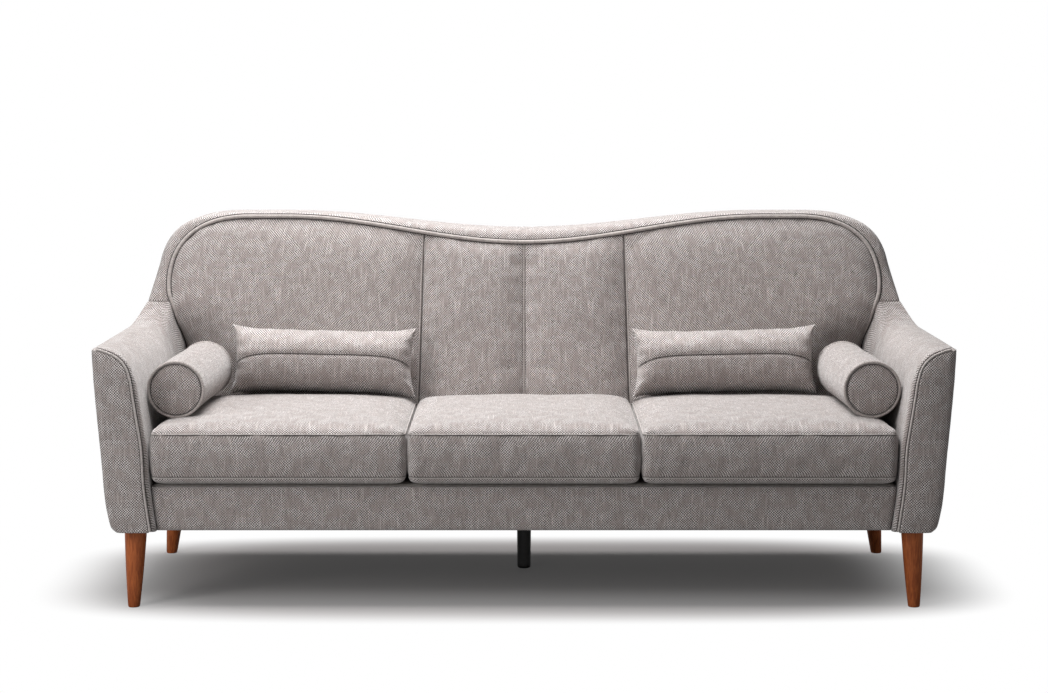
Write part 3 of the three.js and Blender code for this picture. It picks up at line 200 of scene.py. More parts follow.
def weave_group():
    tree, given, out = new_group(
        "woven_melange",
        [
            ("Cloth", "NodeSocketVector", None),
            ("Shade", "NodeSocketColor", (0.4, 0.4, 0.4, 1)),
            ("Pitch", "NodeSocketFloat", WEAVE_PITCH),
            ("Contrast", "NodeSocketFloat", 0.2),
            ("Slubs", "NodeSocketFloat", 0.15),
        ],
        [("Color", "NodeSocketColor"), ("Height", "NodeSocketFloat")],
    )
    cloth = given["Cloth"]
    wander = node(tree, "ShaderNodeTexNoise", None, Vector=cloth, Scale=90.0, Detail=1.0).outputs["Color"]
    centred = node(tree, "ShaderNodeVectorMath", {"operation": "SUBTRACT"}, i0=wander, i1=(0.5, 0.5, 0.5))
    drift = node(
        tree, "ShaderNodeVectorMath", {"operation": "SCALE"}, i0=centred.outputs[0], Scale=YARN_DRIFT)
    moved = node(tree, "ShaderNodeVectorMath", {"operation": "ADD"}, i0=cloth, i1=drift.outputs[0])
    parts = node(tree, "ShaderNodeSeparateXYZ", None, Vector=moved.outputs[0])
    across, along = parts.outputs[0], parts.outputs[1]
    turns = maths(tree, "DIVIDE", FULL_TURN, given["Pitch"])
    upright = maths(tree, "SINE", maths(tree, "MULTIPLY", across, turns))
    level = maths(tree, "SINE", maths(tree, "MULTIPLY", along, turns))
    points = maths(tree, "MULTIPLY", upright, level)
    yarn_turns = FULL_TURN / YARN_PITCH
    warp = maths(tree, "SINE", maths(tree, "MULTIPLY", across, yarn_turns))
    weft = maths(tree, "SINE", maths(tree, "MULTIPLY", along, yarn_turns))
    yarns = maths(tree, "MULTIPLY", warp, weft)
    fleck = noise(tree, stretched(tree, cloth, (620, 420, 1)), 1.0, 2.0, 0.7)
    patch = noise(tree, cloth, 34.0, 2.0, 0.6)
    cloud = noise(tree, cloth, 9.0, 3.0, 0.55)
    streak = noise(tree, stretched(tree, cloth, (170, 26, 1)), 1.0, 2.0, 0.6)
    cross = noise(tree, stretched(tree, cloth, (30, 190, 1)), 1.0, 2.0, 0.6)
    slub_warp = noise(tree, stretched(tree, cloth, (330, 16, 1)), 1.0, 1.0, 0.4)
    slub_weft = noise(tree, stretched(tree, cloth, (20, 300, 1)), 1.0, 1.0, 0.4)
    warp_slubs = spread(tree, slub_warp, 0.56, 0.76)
    slubs = maths(tree, "ADD", warp_slubs, spread(tree, slub_weft, 0.64, 0.8, 0.0, 0.5))
    strength = spread(tree, patch, 0.34, 0.68, 0.2, 1.35)
    mottle = maths(tree, "ADD", maths(tree, "MULTIPLY", streak, 0.75), maths(tree, "MULTIPLY", cross, 0.25))
    pointed = maths(tree, "MULTIPLY", maths(tree, "MULTIPLY", points, strength), given["Contrast"])
    speckle = maths(tree, "MULTIPLY", maths(tree, "SUBTRACT", fleck, 0.5), FLECK_SHARE)
    broad = maths(tree, "MULTIPLY", maths(tree, "SUBTRACT", cloud, 0.5), CLOUD_SHARE)
    uneven = maths(tree, "MULTIPLY", maths(tree, "SUBTRACT", mottle, 0.5), MOTTLE_SHARE)
    broad = maths(tree, "ADD", broad, uneven)
    slub_light = maths(tree, "MULTIPLY", slubs, given["Slubs"])
    change = maths(tree, "ADD", maths(tree, "ADD", pointed, speckle), maths(tree, "ADD", broad, slub_light))
    dark_side = maths(tree, "MINIMUM", maths(tree, "ADD", change, 1.0), 1.0)
    dark_side = maths(tree, "MAXIMUM", dark_side, DARKEST_YARN)
    light_side = maths(tree, "MINIMUM", maths(tree, "MAXIMUM", change, 0.0), PALE_LIMIT)
    light_side = maths(tree, "MULTIPLY", light_side, PALE_YARN)
    shaded = mixed(tree, 1.0, given["Shade"], grey_of(tree, dark_side), "MULTIPLY")
    tree.links.new(mixed(tree, 1.0, shaded, grey_of(tree, light_side), "ADD"), out["Color"])
    relief = maths(tree, "ADD", maths(tree, "MULTIPLY", points, 0.5), maths(tree, "MULTIPLY", yarns, 0.35))
    relief = maths(tree, "ADD", relief, maths(tree, "MULTIPLY", slubs, 0.7))
    tree.links.new(maths(tree, "ADD", relief, fleck), out["Height"])
    return tree


woven = weave_group()
print("weave group has", len(woven.nodes), "nodes")

# %% Cloths cut from the same weave
CLOTH_MAP = "cloth"
CLOTH_ROUGHNESS = 0.95
CLOTH_SHEEN = 0.35
CLOTH_RELIEF = 0.5
YARN_HEIGHT = 0.0007


def cloth_finish(name, shade, contrast, slubs):
    material, tree, shader = new_finish(name, CLOTH_ROUGHNESS, sheen=CLOTH_SHEEN)
    shader.inputs["Sheen Roughness"].default_value = 0.6
    shader.inputs["Specular IOR Level"].default_value = 0.2
    flat = node(tree, "ShaderNodeUVMap", {"uv_map": CLOTH_MAP})
    weave = node(tree, "ShaderNodeGroup", {"node_tree": woven}, Cloth=flat.outputs[0], Shade=shade)
    weave.inputs["Contrast"].default_value = contrast
    weave.inputs["Slubs"].default_value = slubs
    tree.links.new(weave.outputs["Color"], shader.inputs["Base Color"])
    bumped(tree, shader, weave.outputs["Height"], CLOTH_RELIEF, YARN_HEIGHT)
    return material


COVER_SHADE = colour(149, 138, 134)
# The welt and seam cloths are the cover's own cloth made lighter, a painted highlight on the raised cords and
# ridges cut from them.
WELT_PAINTED_HIGHLIGHT = colour(170, 161, 157)
SEAM_PAINTED_HIGHLIGHT = colour(176, 168, 164)
# The two dark seam cloths are painted shade: dark cords laid along seams, beside welts and in grooves stand
# in for the shadow in those recesses.
PAINTED_SEAM_SHADOW = colour(60, 52, 49)
PAINTED_SOFT_SEAM_SHADOW = colour(112, 103, 99)
cover_cloth = cloth_finish("cover_cloth", COVER_SHADE, 2.3, 0.55)
highlit_welt_cloth = cloth_finish("highlit_welt_cloth", WELT_PAINTED_HIGHLIGHT, 0.35, 0.12)
highlit_seam_cloth = cloth_finish("highlit_seam_cloth", SEAM_PAINTED_HIGHLIGHT, 0.3, 0.1)
painted_seam_shadow = cloth_finish("painted_seam_shadow", PAINTED_SEAM_SHADOW, 0.1, 0.05)
painted_soft_seam_shadow = cloth_finish("painted_soft_seam_shadow", PAINTED_SOFT_SEAM_SHADOW, 0.1, 0.05)
print("cloths:", cover_cloth.name, highlit_welt_cloth.name, highlit_seam_cloth.name)

# %% [markdown]
# ## The hard finishes
# The legs are turned walnut with a satin oil, the timber inside is plain rough beech, the springs
# and plates are bright steel, the straps are woven webbing, and the dust cover is a thin black
# felted cloth. Wood grain is noise drawn out along the wood, so it runs up the legs.

# %% Wood grain as a shader group
def grain_group():
    tree, given, out = new_group(
        "wood_grain",
        [
            ("Place", "NodeSocketVector", None),
            ("Light", "NodeSocketColor", (0.5, 0.3, 0.2, 1)),
            ("Dark", "NodeSocketColor", (0.2, 0.1, 0.05, 1)),
        ],
        [("Color", "NodeSocketColor"), ("Height", "NodeSocketFloat")],
    )
    broad = noise(tree, given["Place"], 3.0, 3.0, 0.6)
    fine = noise(tree, given["Place"], 22.0, 4.0, 0.65)
    rings = maths(tree, "SINE", maths(tree, "MULTIPLY", broad, 26.0))
    bands = spread(tree, rings, -0.9, 0.9)
    pores = spread(tree, fine, 0.38, 0.66)
    share = maths(tree, "ADD", maths(tree, "MULTIPLY", bands, 0.55), maths(tree, "MULTIPLY", pores, 0.45))
    tree.links.new(mixed(tree, share, given["Dark"], given["Light"]), out["Color"])
    tree.links.new(pores, out["Height"])
    return tree


grained = grain_group()
WOOD_RELIEF = 0.2
PORE_DEPTH = 0.0004


def wood_finish(name, light, dark, roughness, along, coat=0.0):
    material, tree, shader = new_finish(name, roughness)
    shader.inputs["Specular IOR Level"].default_value = 0.22
    shader.inputs["Coat Weight"].default_value = coat
    shader.inputs["Coat Roughness"].default_value = 0.22
    place = node(tree, "ShaderNodeTexCoord").outputs["Object"]
    drawn = stretched(tree, place, along)
    grain = node(tree, "ShaderNodeGroup", {"node_tree": grained}, Place=drawn, Light=light, Dark=dark)
    tree.links.new(grain.outputs["Color"], shader.inputs["Base Color"])
    bumped(tree, shader, grain.outputs["Height"], WOOD_RELIEF, PORE_DEPTH)
    return material


BEECH_LIGHT = colour(214, 182, 138)
BEECH_DARK = colour(176, 136, 92)
walnut = wood_finish("walnut_oil", colour(188, 104, 56), colour(146, 74, 38), 0.42, (26, 26, 2.2), coat=0.06)
beech_across = wood_finish("beech_rail", BEECH_LIGHT, BEECH_DARK, 0.72, (1.4, 18, 18))
beech_deep = wood_finish("beech_side", BEECH_LIGHT, BEECH_DARK, 0.72, (18, 1.4, 18))
beech_up = wood_finish("beech_post", colour(212, 180, 136), colour(172, 132, 88), 0.72, (18, 18, 1.4))
print("woods:", walnut.name, beech_across.name, beech_deep.name, beech_up.name)

# %% Steel, black lacquer, webbing, dust cloth and deck cloth
SPECK_HEIGHT = 0.0003


def speckled_finish(name, dark, light, scale, roughness, metallic=0.0, relief=0.15):
    material, tree, shader = new_finish(name, roughness, metallic=metallic)
    speck = noise(tree, node(tree, "ShaderNodeTexCoord").outputs["Object"], scale, 4.0, 0.6)
    tree.links.new(mixed(tree, spread(tree, speck, 0.3, 0.7), dark, light), shader.inputs["Base Color"])
    bumped(tree, shader, speck, relief, SPECK_HEIGHT)
    rough = spread(tree, speck, 0.2, 0.8, max(roughness - 0.08, 0.05), min(roughness + 0.1, 1.0))
    tree.links.new(rough, shader.inputs["Roughness"])
    return material


spring_steel = speckled_finish("spring_steel", colour(142, 144, 147), colour(196, 198, 200), 160, 0.34, 1.0)
black_lacquer = speckled_finish("black_lacquer", colour(16, 15, 14), colour(30, 28, 27), 90, 0.42)
dust_felt = speckled_finish("dust_felt", colour(24, 24, 25), colour(52, 52, 54), 900, 0.95, relief=0.5)
web_cloth = speckled_finish("web_cloth", colour(50, 45, 39), colour(92, 84, 74), 420, 0.9, relief=0.5)
deck_cloth = cloth_finish("deck_cloth", colour(150, 143, 138), 0.12, 0.1)
print("hard finishes ready")

# %% [markdown]
# ## Sheets of points
# Every cover is built from patches: a patch is a grid of points between four edge lines, with the
# flat cloth coordinates beside it. Patches that share an edge are welded into one closed skin, so a
# cover can be shaped, filled and simulated as one cloth.

# %% Helpers for lines and patches
WELD = 0.00005


def spline(points, counts):
    """A smooth line through control points, with a count of steps for each stretch."""
    control = np.asarray(points, float)
    ends = [2 * control[0] - control[1], *control, 2 * control[-1] - control[-2]]
    line = []
    for i in range(len(control) - 1):
        p0, p1, p2, p3 = ends[i:i + 4]
        gaps = [max(np.linalg.norm(b - a), 1e-6) ** 0.5 for a, b in ((p0, p1), (p1, p2), (p2, p3))]
        lead = (p1 - p0) / gaps[0] - (p2 - p0) / (gaps[0] + gaps[1]) + (p2 - p1) / gaps[1]
        follow = (p2 - p1) / gaps[1] - (p3 - p1) / (gaps[1] + gaps[2]) + (p3 - p2) / gaps[2]
        lead, follow = lead * gaps[1], follow * gaps[1]
        for t in np.arange(counts[i]) / counts[i]:
            weight_a = 2 * t ** 3 - 3 * t ** 2 + 1
            weight_b = t ** 3 - 2 * t ** 2 + t
            weight_c = -2 * t ** 3 + 3 * t ** 2
            weight_d = t ** 3 - t ** 2
            line.append(weight_a * p1 + weight_b * lead + weight_c * p2 + weight_d * follow)
    line.append(control[-1])
    return np.array(line)


def lengths(line):
    steps = np.linalg.norm(np.diff(line, axis=0), axis=1)
    return np.concatenate([[0], np.cumsum(steps)])


def placed_along(line, shares):
    """Points at the given shares of a line's length."""
    along = lengths(line)
    return np.stack([np.interp(shares * along[-1], along, line[:, k]) for k in range(line.shape[1])], 1)


def crowded(count, pull=0.55):
    """Shares from 0 to 1 that crowd towards both ends, where an edge turns."""
    even = np.linspace(0, 1, count)
    return (1 - pull) * even + pull * (1 - np.cos(np.pi * even)) / 2


def patch_between(bottom, top, left, right):
    """A grid between four lines: bottom and top run left to right, left and right run upwards."""
    u = lengths(bottom) / lengths(bottom)[-1]
    v = lengths(left) / lengths(left)[-1]
    u, v = u[None, :, None], v[:, None, None]
    ruled = (1 - v) * bottom[None] + v * top[None] + (1 - u) * left[:, None] + u * right[:, None]
    corners = (1 - u) * (1 - v) * bottom[0] + u * (1 - v) * bottom[-1]
    corners = corners + (1 - u) * v * top[0] + u * v * top[-1]
    return ruled - corners


def rim_of(grid):
    """The points round a grid, once round, starting at its first corner."""
    return np.concatenate([grid[0, :-1], grid[:-1, -1], grid[-1, :0:-1], grid[:0:-1, 0]])


def skin(name, patches):
    """Weld patches of points and cloth coordinates into one mesh whose faces point outwards."""
    points, faces, cloths = [], [], []
    for grid, flat in patches:
        rows, columns = grid.shape[:2]
        start = len(points)
        points.extend(map(tuple, grid.reshape(-1, 3)))
        cloth = flat.reshape(-1, 2)
        for r in range(rows - 1):
            for c in range(columns - 1):
                corner = r * columns + c
                loop = (corner, corner + 1, corner + columns + 1, corner + columns)
                faces.append([start + i for i in loop])
                cloths.extend(cloth[i] for i in loop)
    mesh = bpy.data.meshes.new(name)
    mesh.from_pydata(points, [], faces)
    layer = mesh.uv_layers.new(name=CLOTH_MAP)
    layer.data.foreach_set("uv", np.asarray(cloths, float).ravel())
    made = bpy.data.objects.new(name, mesh)
    bpy.context.scene.collection.objects.link(made)
    close_skin(made)
    return made


def smooth_faces(mesh):
    for polygon in mesh.polygons:
        polygon.use_smooth = True


def close_skin(piece):
    work = bmesh.new()
    work.from_mesh(piece.data)
    bmesh.ops.remove_doubles(work, verts=work.verts, dist=WELD)
    bmesh.ops.dissolve_degenerate(work, dist=WELD / 10, edges=work.edges)
    bmesh.ops.recalc_face_normals(work, faces=work.faces)
    work.to_mesh(piece.data)
    work.free()
    smooth_faces(piece.data)


def corners_of(piece):
    place = np.empty(len(piece.data.vertices) * 3)
    piece.data.vertices.foreach_get("co", place)
    return place.reshape(-1, 3)


def move_corners(piece, place):
    piece.data.vertices.foreach_set("co", np.asarray(place, float).ravel())
    piece.data.update()


def finish_piece(piece, material, body, *nodes, fill=None):
    """Give a piece its finish, its body and the nodes that it stands for; how full it is (fill) is not used.
    """
    piece.data.materials.clear()
    piece.data.materials.append(material)
    if nodes:
        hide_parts(*nodes)
    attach(piece, body)
    return piece


def mirrored_copy(piece, name):
    """The same piece on the other side, with its faces turned out again."""
    made = bpy.data.objects.new(name, piece.data.copy())
    made.data.name = name
    bpy.context.scene.collection.objects.link(made)
    place = corners_of(made)
    place[:, 0] *= -1
    move_corners(made, place)
    made.data.flip_normals()
    return made


def finish_pair(right, material, body, *nodes, fill=None):
    """Finish a right-hand piece, and its mirrored copy under the same names with left for right."""
    names = [name.replace("_right", "_left") for name in (right.name, body, *nodes)]
    finish_piece(right, material, body, *nodes, fill=fill)
    finish_piece(mirrored_copy(right, names[0]), material, *names[1:], fill=fill)
    return right


print("patch helpers ready")

# %% [markdown]
# ## Fine cord and stitches from one path
# A welt is a cord wrapped in cloth, a seam ridge is a thinner one, and a row of stitches repeats one
# short thread. Each follows a line of points, so Geometry Nodes makes them: the tree sweeps a round
# section along the line, or sets a thread at every step of it.

# %% A tree that wraps a cord round a path
def geometry_tree(name, sockets):
    shape = ("Geometry", "NodeSocketGeometry")
    return new_group(name, [(*shape, None), *sockets], [shape], "GeometryNodeTree")


def end_tree(tree, geometry, material, out):
    """Every tree ends alike: real copies, then their material."""
    real = node(tree, "GeometryNodeRealizeInstances", None, Geometry=geometry)
    finished = node(tree, "GeometryNodeSetMaterial", None, Geometry=real.outputs[0], Material=material)
    tree.links.new(finished.outputs[0], out["Geometry"])
    return tree


def cord_tree():
    tree, given, out = geometry_tree(
        "cord_on_path",
        [
            ("Radius", "NodeSocketFloat", 0.004),
            ("Step", "NodeSocketFloat", 0.006),
            ("Sides", "NodeSocketInt", 12),
            ("Unevenness", "NodeSocketFloat", 0.0003),
            ("Material", "NodeSocketMaterial", None),
        ],
    )
    path = node(tree, "GeometryNodeMeshToCurve", None, Mesh=given["Geometry"]).outputs[0]
    even = node(tree, "GeometryNodeResampleCurve", {"mode": "LENGTH"}, Curve=path, Length=given["Step"])
    circle = node(tree, "GeometryNodeCurvePrimitiveCircle", None, Resolution=given["Sides"])
    tree.links.new(given["Radius"], circle.inputs["Radius"])
    along = tree.nodes.new("GeometryNodeCaptureAttribute")
    along.capture_items.new("FLOAT", "along")
    around = tree.nodes.new("GeometryNodeCaptureAttribute")
    around.capture_items.new("FLOAT", "around")
    for keeper, line in ((along, even.outputs[0]), (around, circle.outputs[0])):
        tree.links.new(line, keeper.inputs[0])
        travelled = node(tree, "GeometryNodeSplineParameter").outputs["Length"]
        tree.links.new(travelled, keeper.inputs[1])
    swept = node(tree, "GeometryNodeCurveToMesh", {}, Curve=along.outputs[0])
    tree.links.new(around.outputs[0], swept.inputs["Profile Curve"])
    swept.inputs["Fill Caps"].default_value = True
    rumple = node(tree, "ShaderNodeTexNoise", None, Scale=70.0, Detail=1.0).outputs["Color"]
    centred = node(tree, "ShaderNodeVectorMath", {"operation": "SUBTRACT"}, i0=rumple, i1=(0.5, 0.5, 0.5))
    shift = node(tree, "ShaderNodeVectorMath", {"operation": "SCALE"}, i0=centred.outputs[0])
    tree.links.new(given["Unevenness"], shift.inputs["Scale"])
    moved = node(tree, "GeometryNodeSetPosition", None, Geometry=swept.outputs[0], Offset=shift.outputs[0])
    flat = node(tree, "ShaderNodeCombineXYZ", None, X=along.outputs[1], Y=around.outputs[1]).outputs[0]
    stored = tree.nodes.new("GeometryNodeStoreNamedAttribute")
    stored.data_type, stored.domain = "FLOAT2", "CORNER"
    stored.inputs["Name"].default_value = CLOTH_MAP
    tree.links.new(moved.outputs[0], stored.inputs["Geometry"])
    tree.links.new(flat, stored.inputs["Value"])
    smooth = node(tree, "GeometryNodeSetShadeSmooth", None, Geometry=stored.outputs[0]).outputs[0]
    return end_tree(tree, smooth, given["Material"], out)


def stitch_tree():
    tree, given, out = geometry_tree(
        "stitches_on_path",
        [
            ("Pitch", "NodeSocketFloat", 0.006),
            ("Length", "NodeSocketFloat", 0.004),
            ("Radius", "NodeSocketFloat", 0.0005),
            ("Seed", "NodeSocketInt", 3),
            ("Material", "NodeSocketMaterial", None),
        ],
    )
    path = node(tree, "GeometryNodeMeshToCurve", None, Mesh=given["Geometry"]).outputs[0]
    even = node(tree, "GeometryNodeCurveToPoints", {"mode": "LENGTH"}, Curve=path, Length=given["Pitch"])
    thread = node(
        tree, "GeometryNodeMeshCylinder", None, Vertices=6, Radius=given["Radius"], Depth=given["Length"])
    turn = node(tree, "FunctionNodeRandomValue", {"data_type": "FLOAT_VECTOR"}, Seed=given["Seed"])
    turn.inputs[0].default_value = (-0.12, -0.12, 0.0)
    turn.inputs[1].default_value = (0.12, 0.12, 0.0)
    set_on = node(
        tree, "GeometryNodeInstanceOnPoints", None, Points=even.outputs[0], Instance=thread.outputs[0])
    tree.links.new(even.outputs["Rotation"], set_on.inputs["Rotation"])
    turned = node(
        tree, "GeometryNodeRotateInstances", None, Instances=set_on.outputs[0], Rotation=turn.outputs[0])
    return end_tree(tree, turned.outputs[0], given["Material"], out)


cords = cord_tree()
stitches = stitch_tree()


def along_paths(name, tree, paths, closed=False, **settings):
    """Run a tree on one or more lines of points and keep the plain mesh that it makes."""
    points, edges = [], []
    for path in paths:
        start = len(points)
        points.extend(map(tuple, path))
        edges.extend((start + i, start + i + 1) for i in range(len(path) - 1))
        if closed:
            edges.append((start + len(path) - 1, start))
    mesh = bpy.data.meshes.new(name + "_path")
    mesh.from_pydata(points, edges, [])
    guide = bpy.data.objects.new(name + "_path", mesh)
    bpy.context.scene.collection.objects.link(guide)
    modifier = guide.modifiers.new("along", "NODES")
    modifier.node_group = tree
    for socket in tree.interface.items_tree:
        if socket.in_out == "INPUT" and socket.name in settings:
            modifier[socket.identifier] = settings[socket.name]
    made = settled(guide, name)
    bpy.data.objects.remove(guide)
    made.data.materials.clear()
    made.data.materials.append(settings["Material"])
    return made


def settled(source, name):
    """A plain mesh object with the source's modifiers worked in."""
    depsgraph = bpy.context.evaluated_depsgraph_get()
    mesh = bpy.data.meshes.new_from_object(source.evaluated_get(depsgraph), depsgraph=depsgraph)
    mesh.name = name
    made = bpy.data.objects.new(name, mesh)
    bpy.context.scene.collection.objects.link(made)
    return made


def apply_modifiers(piece):
    depsgraph = bpy.context.evaluated_depsgraph_get()
    mesh = bpy.data.meshes.new_from_object(piece.evaluated_get(depsgraph), depsgraph=depsgraph)
    old = piece.data
    piece.modifiers.clear()
    piece.data = mesh
    bpy.data.meshes.remove(old)
    mesh.name = piece.name
    smooth_faces(mesh)


print("trees:", cords.name, stitches.name)

# %% [markdown]
# ## The lines of the arms and the back
# An arm's section is one flowing line: up the outer side to a pointed edge, over the roll and down
# the inner face with a knee where the seat cushion pushes under it. Where the arm reaches the back,
# the line sweeps up to the cross seam. The back has two outlines: the outer one, and the welt's.

# %% Named sizes of the covers, in metres
BODY_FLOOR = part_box("arm_cover_right")[0].z
ARM_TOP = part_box("arm_front_panel_right")[1].z
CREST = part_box("back_border")[1].z
DECK_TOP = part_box("deck_pad")[1].z
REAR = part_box("outside_back_panel")[1].y - FRONT
ARM_FOOT_OUTER = 0.989
ARM_FOOT_INNER = 0.894
CROSS_SEAM = 0.7
WELT_FOOT_SHARE = 0.38
KNEE_ACROSS = 0.095
KNEE_UP = 0.25
SWEEP_END = 0.69
INNER_SWEEP_START = 0.5
OUTER_SWEEP_START = 0.555
SWEEP_TOP = 0.6665
INNER_SWEEP_POWER = 3.0
OUTER_SWEEP_POWER = 2.3
SIDE_SHARES = (
    (0, 0, 0, 0), (0.2, 0.02, 0.2, 0.02), (0.34, 0.07, 0.34, 0.06), (0.5, 0.18, 0.5, 0.16),
    (0.64, 0.4, 0.64, 0.35), (0.8, 0.62, 0.8, 0.55), (0.94, 0.84, 0.94, 0.74),
)
ROLL_SHARES = (
    (1, 1, 0.785, 1), (0.86, 1.002, 0.7, 1), (0.77, 1, 0.58, 1), (0.56, 0.975, 0.48, 1),
    (0.4, 0.92, WELT_FOOT_SHARE, 1), (0.3, 0.83, 0.29, 0.9), (0.25, 0.745, 0.15, 0.77),
)
FACE_SHARES = (
    (0.195, 0.105, 0.62), (0.125, KNEE_ACROSS, 0.457), (KNEE_ACROSS, KNEE_ACROSS, KNEE_UP), (0, 0, 0),
)
PANEL_DEPTH = 0.012
PANEL_INSET = 0.015
EDGE_ROUND = 0.014


def mix(first, second, share):
    return first + (second - first) * share


def eased(value, start, end):
    share = np.clip((np.asarray(value, float) - start) / (end - start), 0, 1)
    return share * share * (3 - 2 * share)


def swept(depth, start, power):
    """From 0 to 1, steeper and steeper up to the cross seam, so the arm runs into the back."""
    share = min(max((depth - start) / (SWEEP_TOP - start), 0.0), 1.0)
    return share ** power


def place(x, depth, z):
    """A point from its distance across, its distance behind the front and its height."""
    return (x, FRONT + depth, z)


def arm_lines(depth, inset):
    """Control points of the arm's section: the outer side up to the tip, then roll and inner face."""
    outer = swept(depth, OUTER_SWEEP_START, OUTER_SWEEP_POWER)
    inner = swept(depth, INNER_SWEEP_START, INNER_SWEEP_POWER)
    side = []
    for across, up, across_rear, up_rear in SIDE_SHARES:
        x = mix(ARM_FOOT_OUTER, HALF_WIDTH, mix(across, across_rear, outer))
        z = mix(mix(BODY_FLOOR, ARM_TOP, up), mix(BODY_FLOOR, CROSS_SEAM, up_rear), outer)
        side.append((x, z))
    roll = []
    for i, (across, up, across_rear, up_rear) in enumerate(ROLL_SHARES):
        inward = i / (len(ROLL_SHARES) - 1)
        weight = mix(outer, inner, inward)
        push = inset * min(2 * inward, 1)
        x = mix(ARM_FOOT_INNER, HALF_WIDTH, mix(across, across_rear, weight))
        z = mix(mix(BODY_FLOOR, ARM_TOP, up), mix(BODY_FLOOR, CROSS_SEAM, up_rear), weight)
        roll.append((x + push * inward, z - push * (1 - inward)))
    taper = min(depth / SWEEP_END, 1) ** 1.5
    for across, across_rear, up in FACE_SHARES:
        x = mix(ARM_FOOT_INNER, HALF_WIDTH, mix(across, across_rear, taper)) + inset
        roll.append((x, mix(BODY_FLOOR, ARM_TOP, up)))
    return side + roll[:1], roll


SIDE_STEPS = (3, 3, 4, 6, 6, 6, 5)
ROLL_STEPS = (6, 4, 8, 6, 5, 4, 5, 6, 8, 8)


def arm_section(depth, inset):
    side, roll = arm_lines(depth, inset)
    return spline(side, SIDE_STEPS), spline(roll, ROLL_STEPS)


print("arm section has", sum(SIDE_STEPS) + sum(ROLL_STEPS), "steps")

# %% Planes of the back and its two outlines
BACK_AT_SEAT = 0.632
SEAT_TOP_SEAM = 0.436
SEAT_LOWER_SEAM = 0.331
RAKE_START = 0.45
FRONT_RAKE = 0.17
REAR_RAKE = 0.095
OUTSIDE_BACK = 0.008
CREST_START = 0.64
DIP_DROP = 0.046
OUTER_CREST_END = 0.768
OUTER_SHOULDER = 1.0085
WELT_DIP_DROP = 0.08
WELT_HUMP_DROP = 0.012
WELT_CREST_END = 0.74
WELT_SHOULDER = 0.951
OUTLINE_STEPS = 40
OUTER_SHOULDER_SHARES = ((0, 1), (0.524, 1), (0.794, 0.856), (0.877, 0.449), (1, 0))
WELT_SHOULDER_SHARES = ((0, 1), (0.616, 1), (0.995, 0.723), (1, 0.1875), (0.99, 0))


def back_front(z):
    return BACK_AT_SEAT + (z - RAKE_START) * FRONT_RAKE


def back_rear(z):
    return REAR - (CREST - z) * REAR_RAKE - OUTSIDE_BACK


def half_outline(drop_dip, drop_hump, crest_end, shoulder, shares):
    """From the middle of the dip over the hump and down the shoulder to the cross seam."""
    run = np.linspace(0, 1, OUTLINE_STEPS)
    rise = (1 - np.cos(np.pi * run)) / 2
    crest = np.stack([CREST_START * run, mix(CREST - drop_dip, CREST - drop_hump, rise)], 1)
    corners = [
        np.array([mix(crest_end, shoulder, across), mix(CROSS_SEAM, CREST - drop_hump, up)])
        for across, up in shares
    ]
    t = run[:, None]
    curve = (1 - t) ** 3 * corners[0] + 3 * t * (1 - t) ** 2 * corners[1]
    curve = curve + 3 * t * t * (1 - t) * corners[2] + t ** 3 * corners[3]
    return np.concatenate([crest, curve, [corners[4]]])


outer_half = half_outline(DIP_DROP, 0.0, OUTER_CREST_END, OUTER_SHOULDER, OUTER_SHOULDER_SHARES)
welt_half = half_outline(WELT_DIP_DROP, WELT_HUMP_DROP, WELT_CREST_END, WELT_SHOULDER, WELT_SHOULDER_SHARES)


def whole(half):
    """A half outline and its mirror image, left to right."""
    left = half[:0:-1] * [-1, 1]
    return np.concatenate([left, half])


print("outline lengths", round(lengths(outer_half)[-1], 3), round(lengths(welt_half)[-1], 3))

# %% Helpers that measure cloth and thicken covers
TOUCHING = 0.0004
START_WAVE = 0.07
START_HEIGHT = 0.0004
SWELL_FRAMES = 18
SWELL_CLOTH = {
    "quality": 6, "mass": 0.25, "tension_stiffness": 18, "compression_stiffness": 18,
    "shear_stiffness": 6, "bending_stiffness": 0.6, "air_damping": 3,
    "vertex_group_mass": "held", "use_pressure": True,
}


def flat_cloth(grid):
    """Cloth coordinates in metres: lengths along the rows and the columns, from the grid's middle."""
    across = np.linalg.norm(np.diff(grid, axis=1), axis=2)
    across = np.concatenate([np.zeros((grid.shape[0], 1)), np.cumsum(across, 1)], 1)
    along = np.linalg.norm(np.diff(grid, axis=0), axis=2)
    along = np.concatenate([np.zeros((1, grid.shape[1])), np.cumsum(along, 0)], 0)
    across = across - across[:, grid.shape[1] // 2][:, None]
    along = along - along[grid.shape[0] // 2][None]
    return np.stack([across, along], 2)


def patch(grid):
    return grid, flat_cloth(grid)


def upright(points, y=0.0):
    """Points that are given across and up, each set at its own y."""
    return np.stack([points[:, 0], np.broadcast_to(y, len(points)), points[:, 1]], 1)


def level(points, z=0.0):
    """Points that are given across and along, each set at its own height."""
    return np.stack([points[:, 0], points[:, 1], np.broadcast_to(z, len(points))], 1)


def edge_between(front, back):
    """The strip that joins the rims of two grids, once round."""
    edge = np.stack([rim_of(front), rim_of(back)])
    return np.concatenate([edge, edge[:, :1]], 1)


def turn_outwards(piece, inside):
    """Flip the faces if most of them look towards the inside points instead of away."""
    centres = np.array([polygon.center for polygon in piece.data.polygons])
    normals = np.array([polygon.normal for polygon in piece.data.polygons])
    away = centres - inside(centres)
    if (normals * away).sum(1).mean() < 0:
        piece.data.flip_normals()


def drop_faces(piece, unwanted):
    work = bmesh.new()
    work.from_mesh(piece.data)
    gone = [face for face in work.faces if unwanted(face.calc_center_median())]
    bmesh.ops.delete(work, geom=gone, context="FACES")
    work.to_mesh(piece.data)
    work.free()


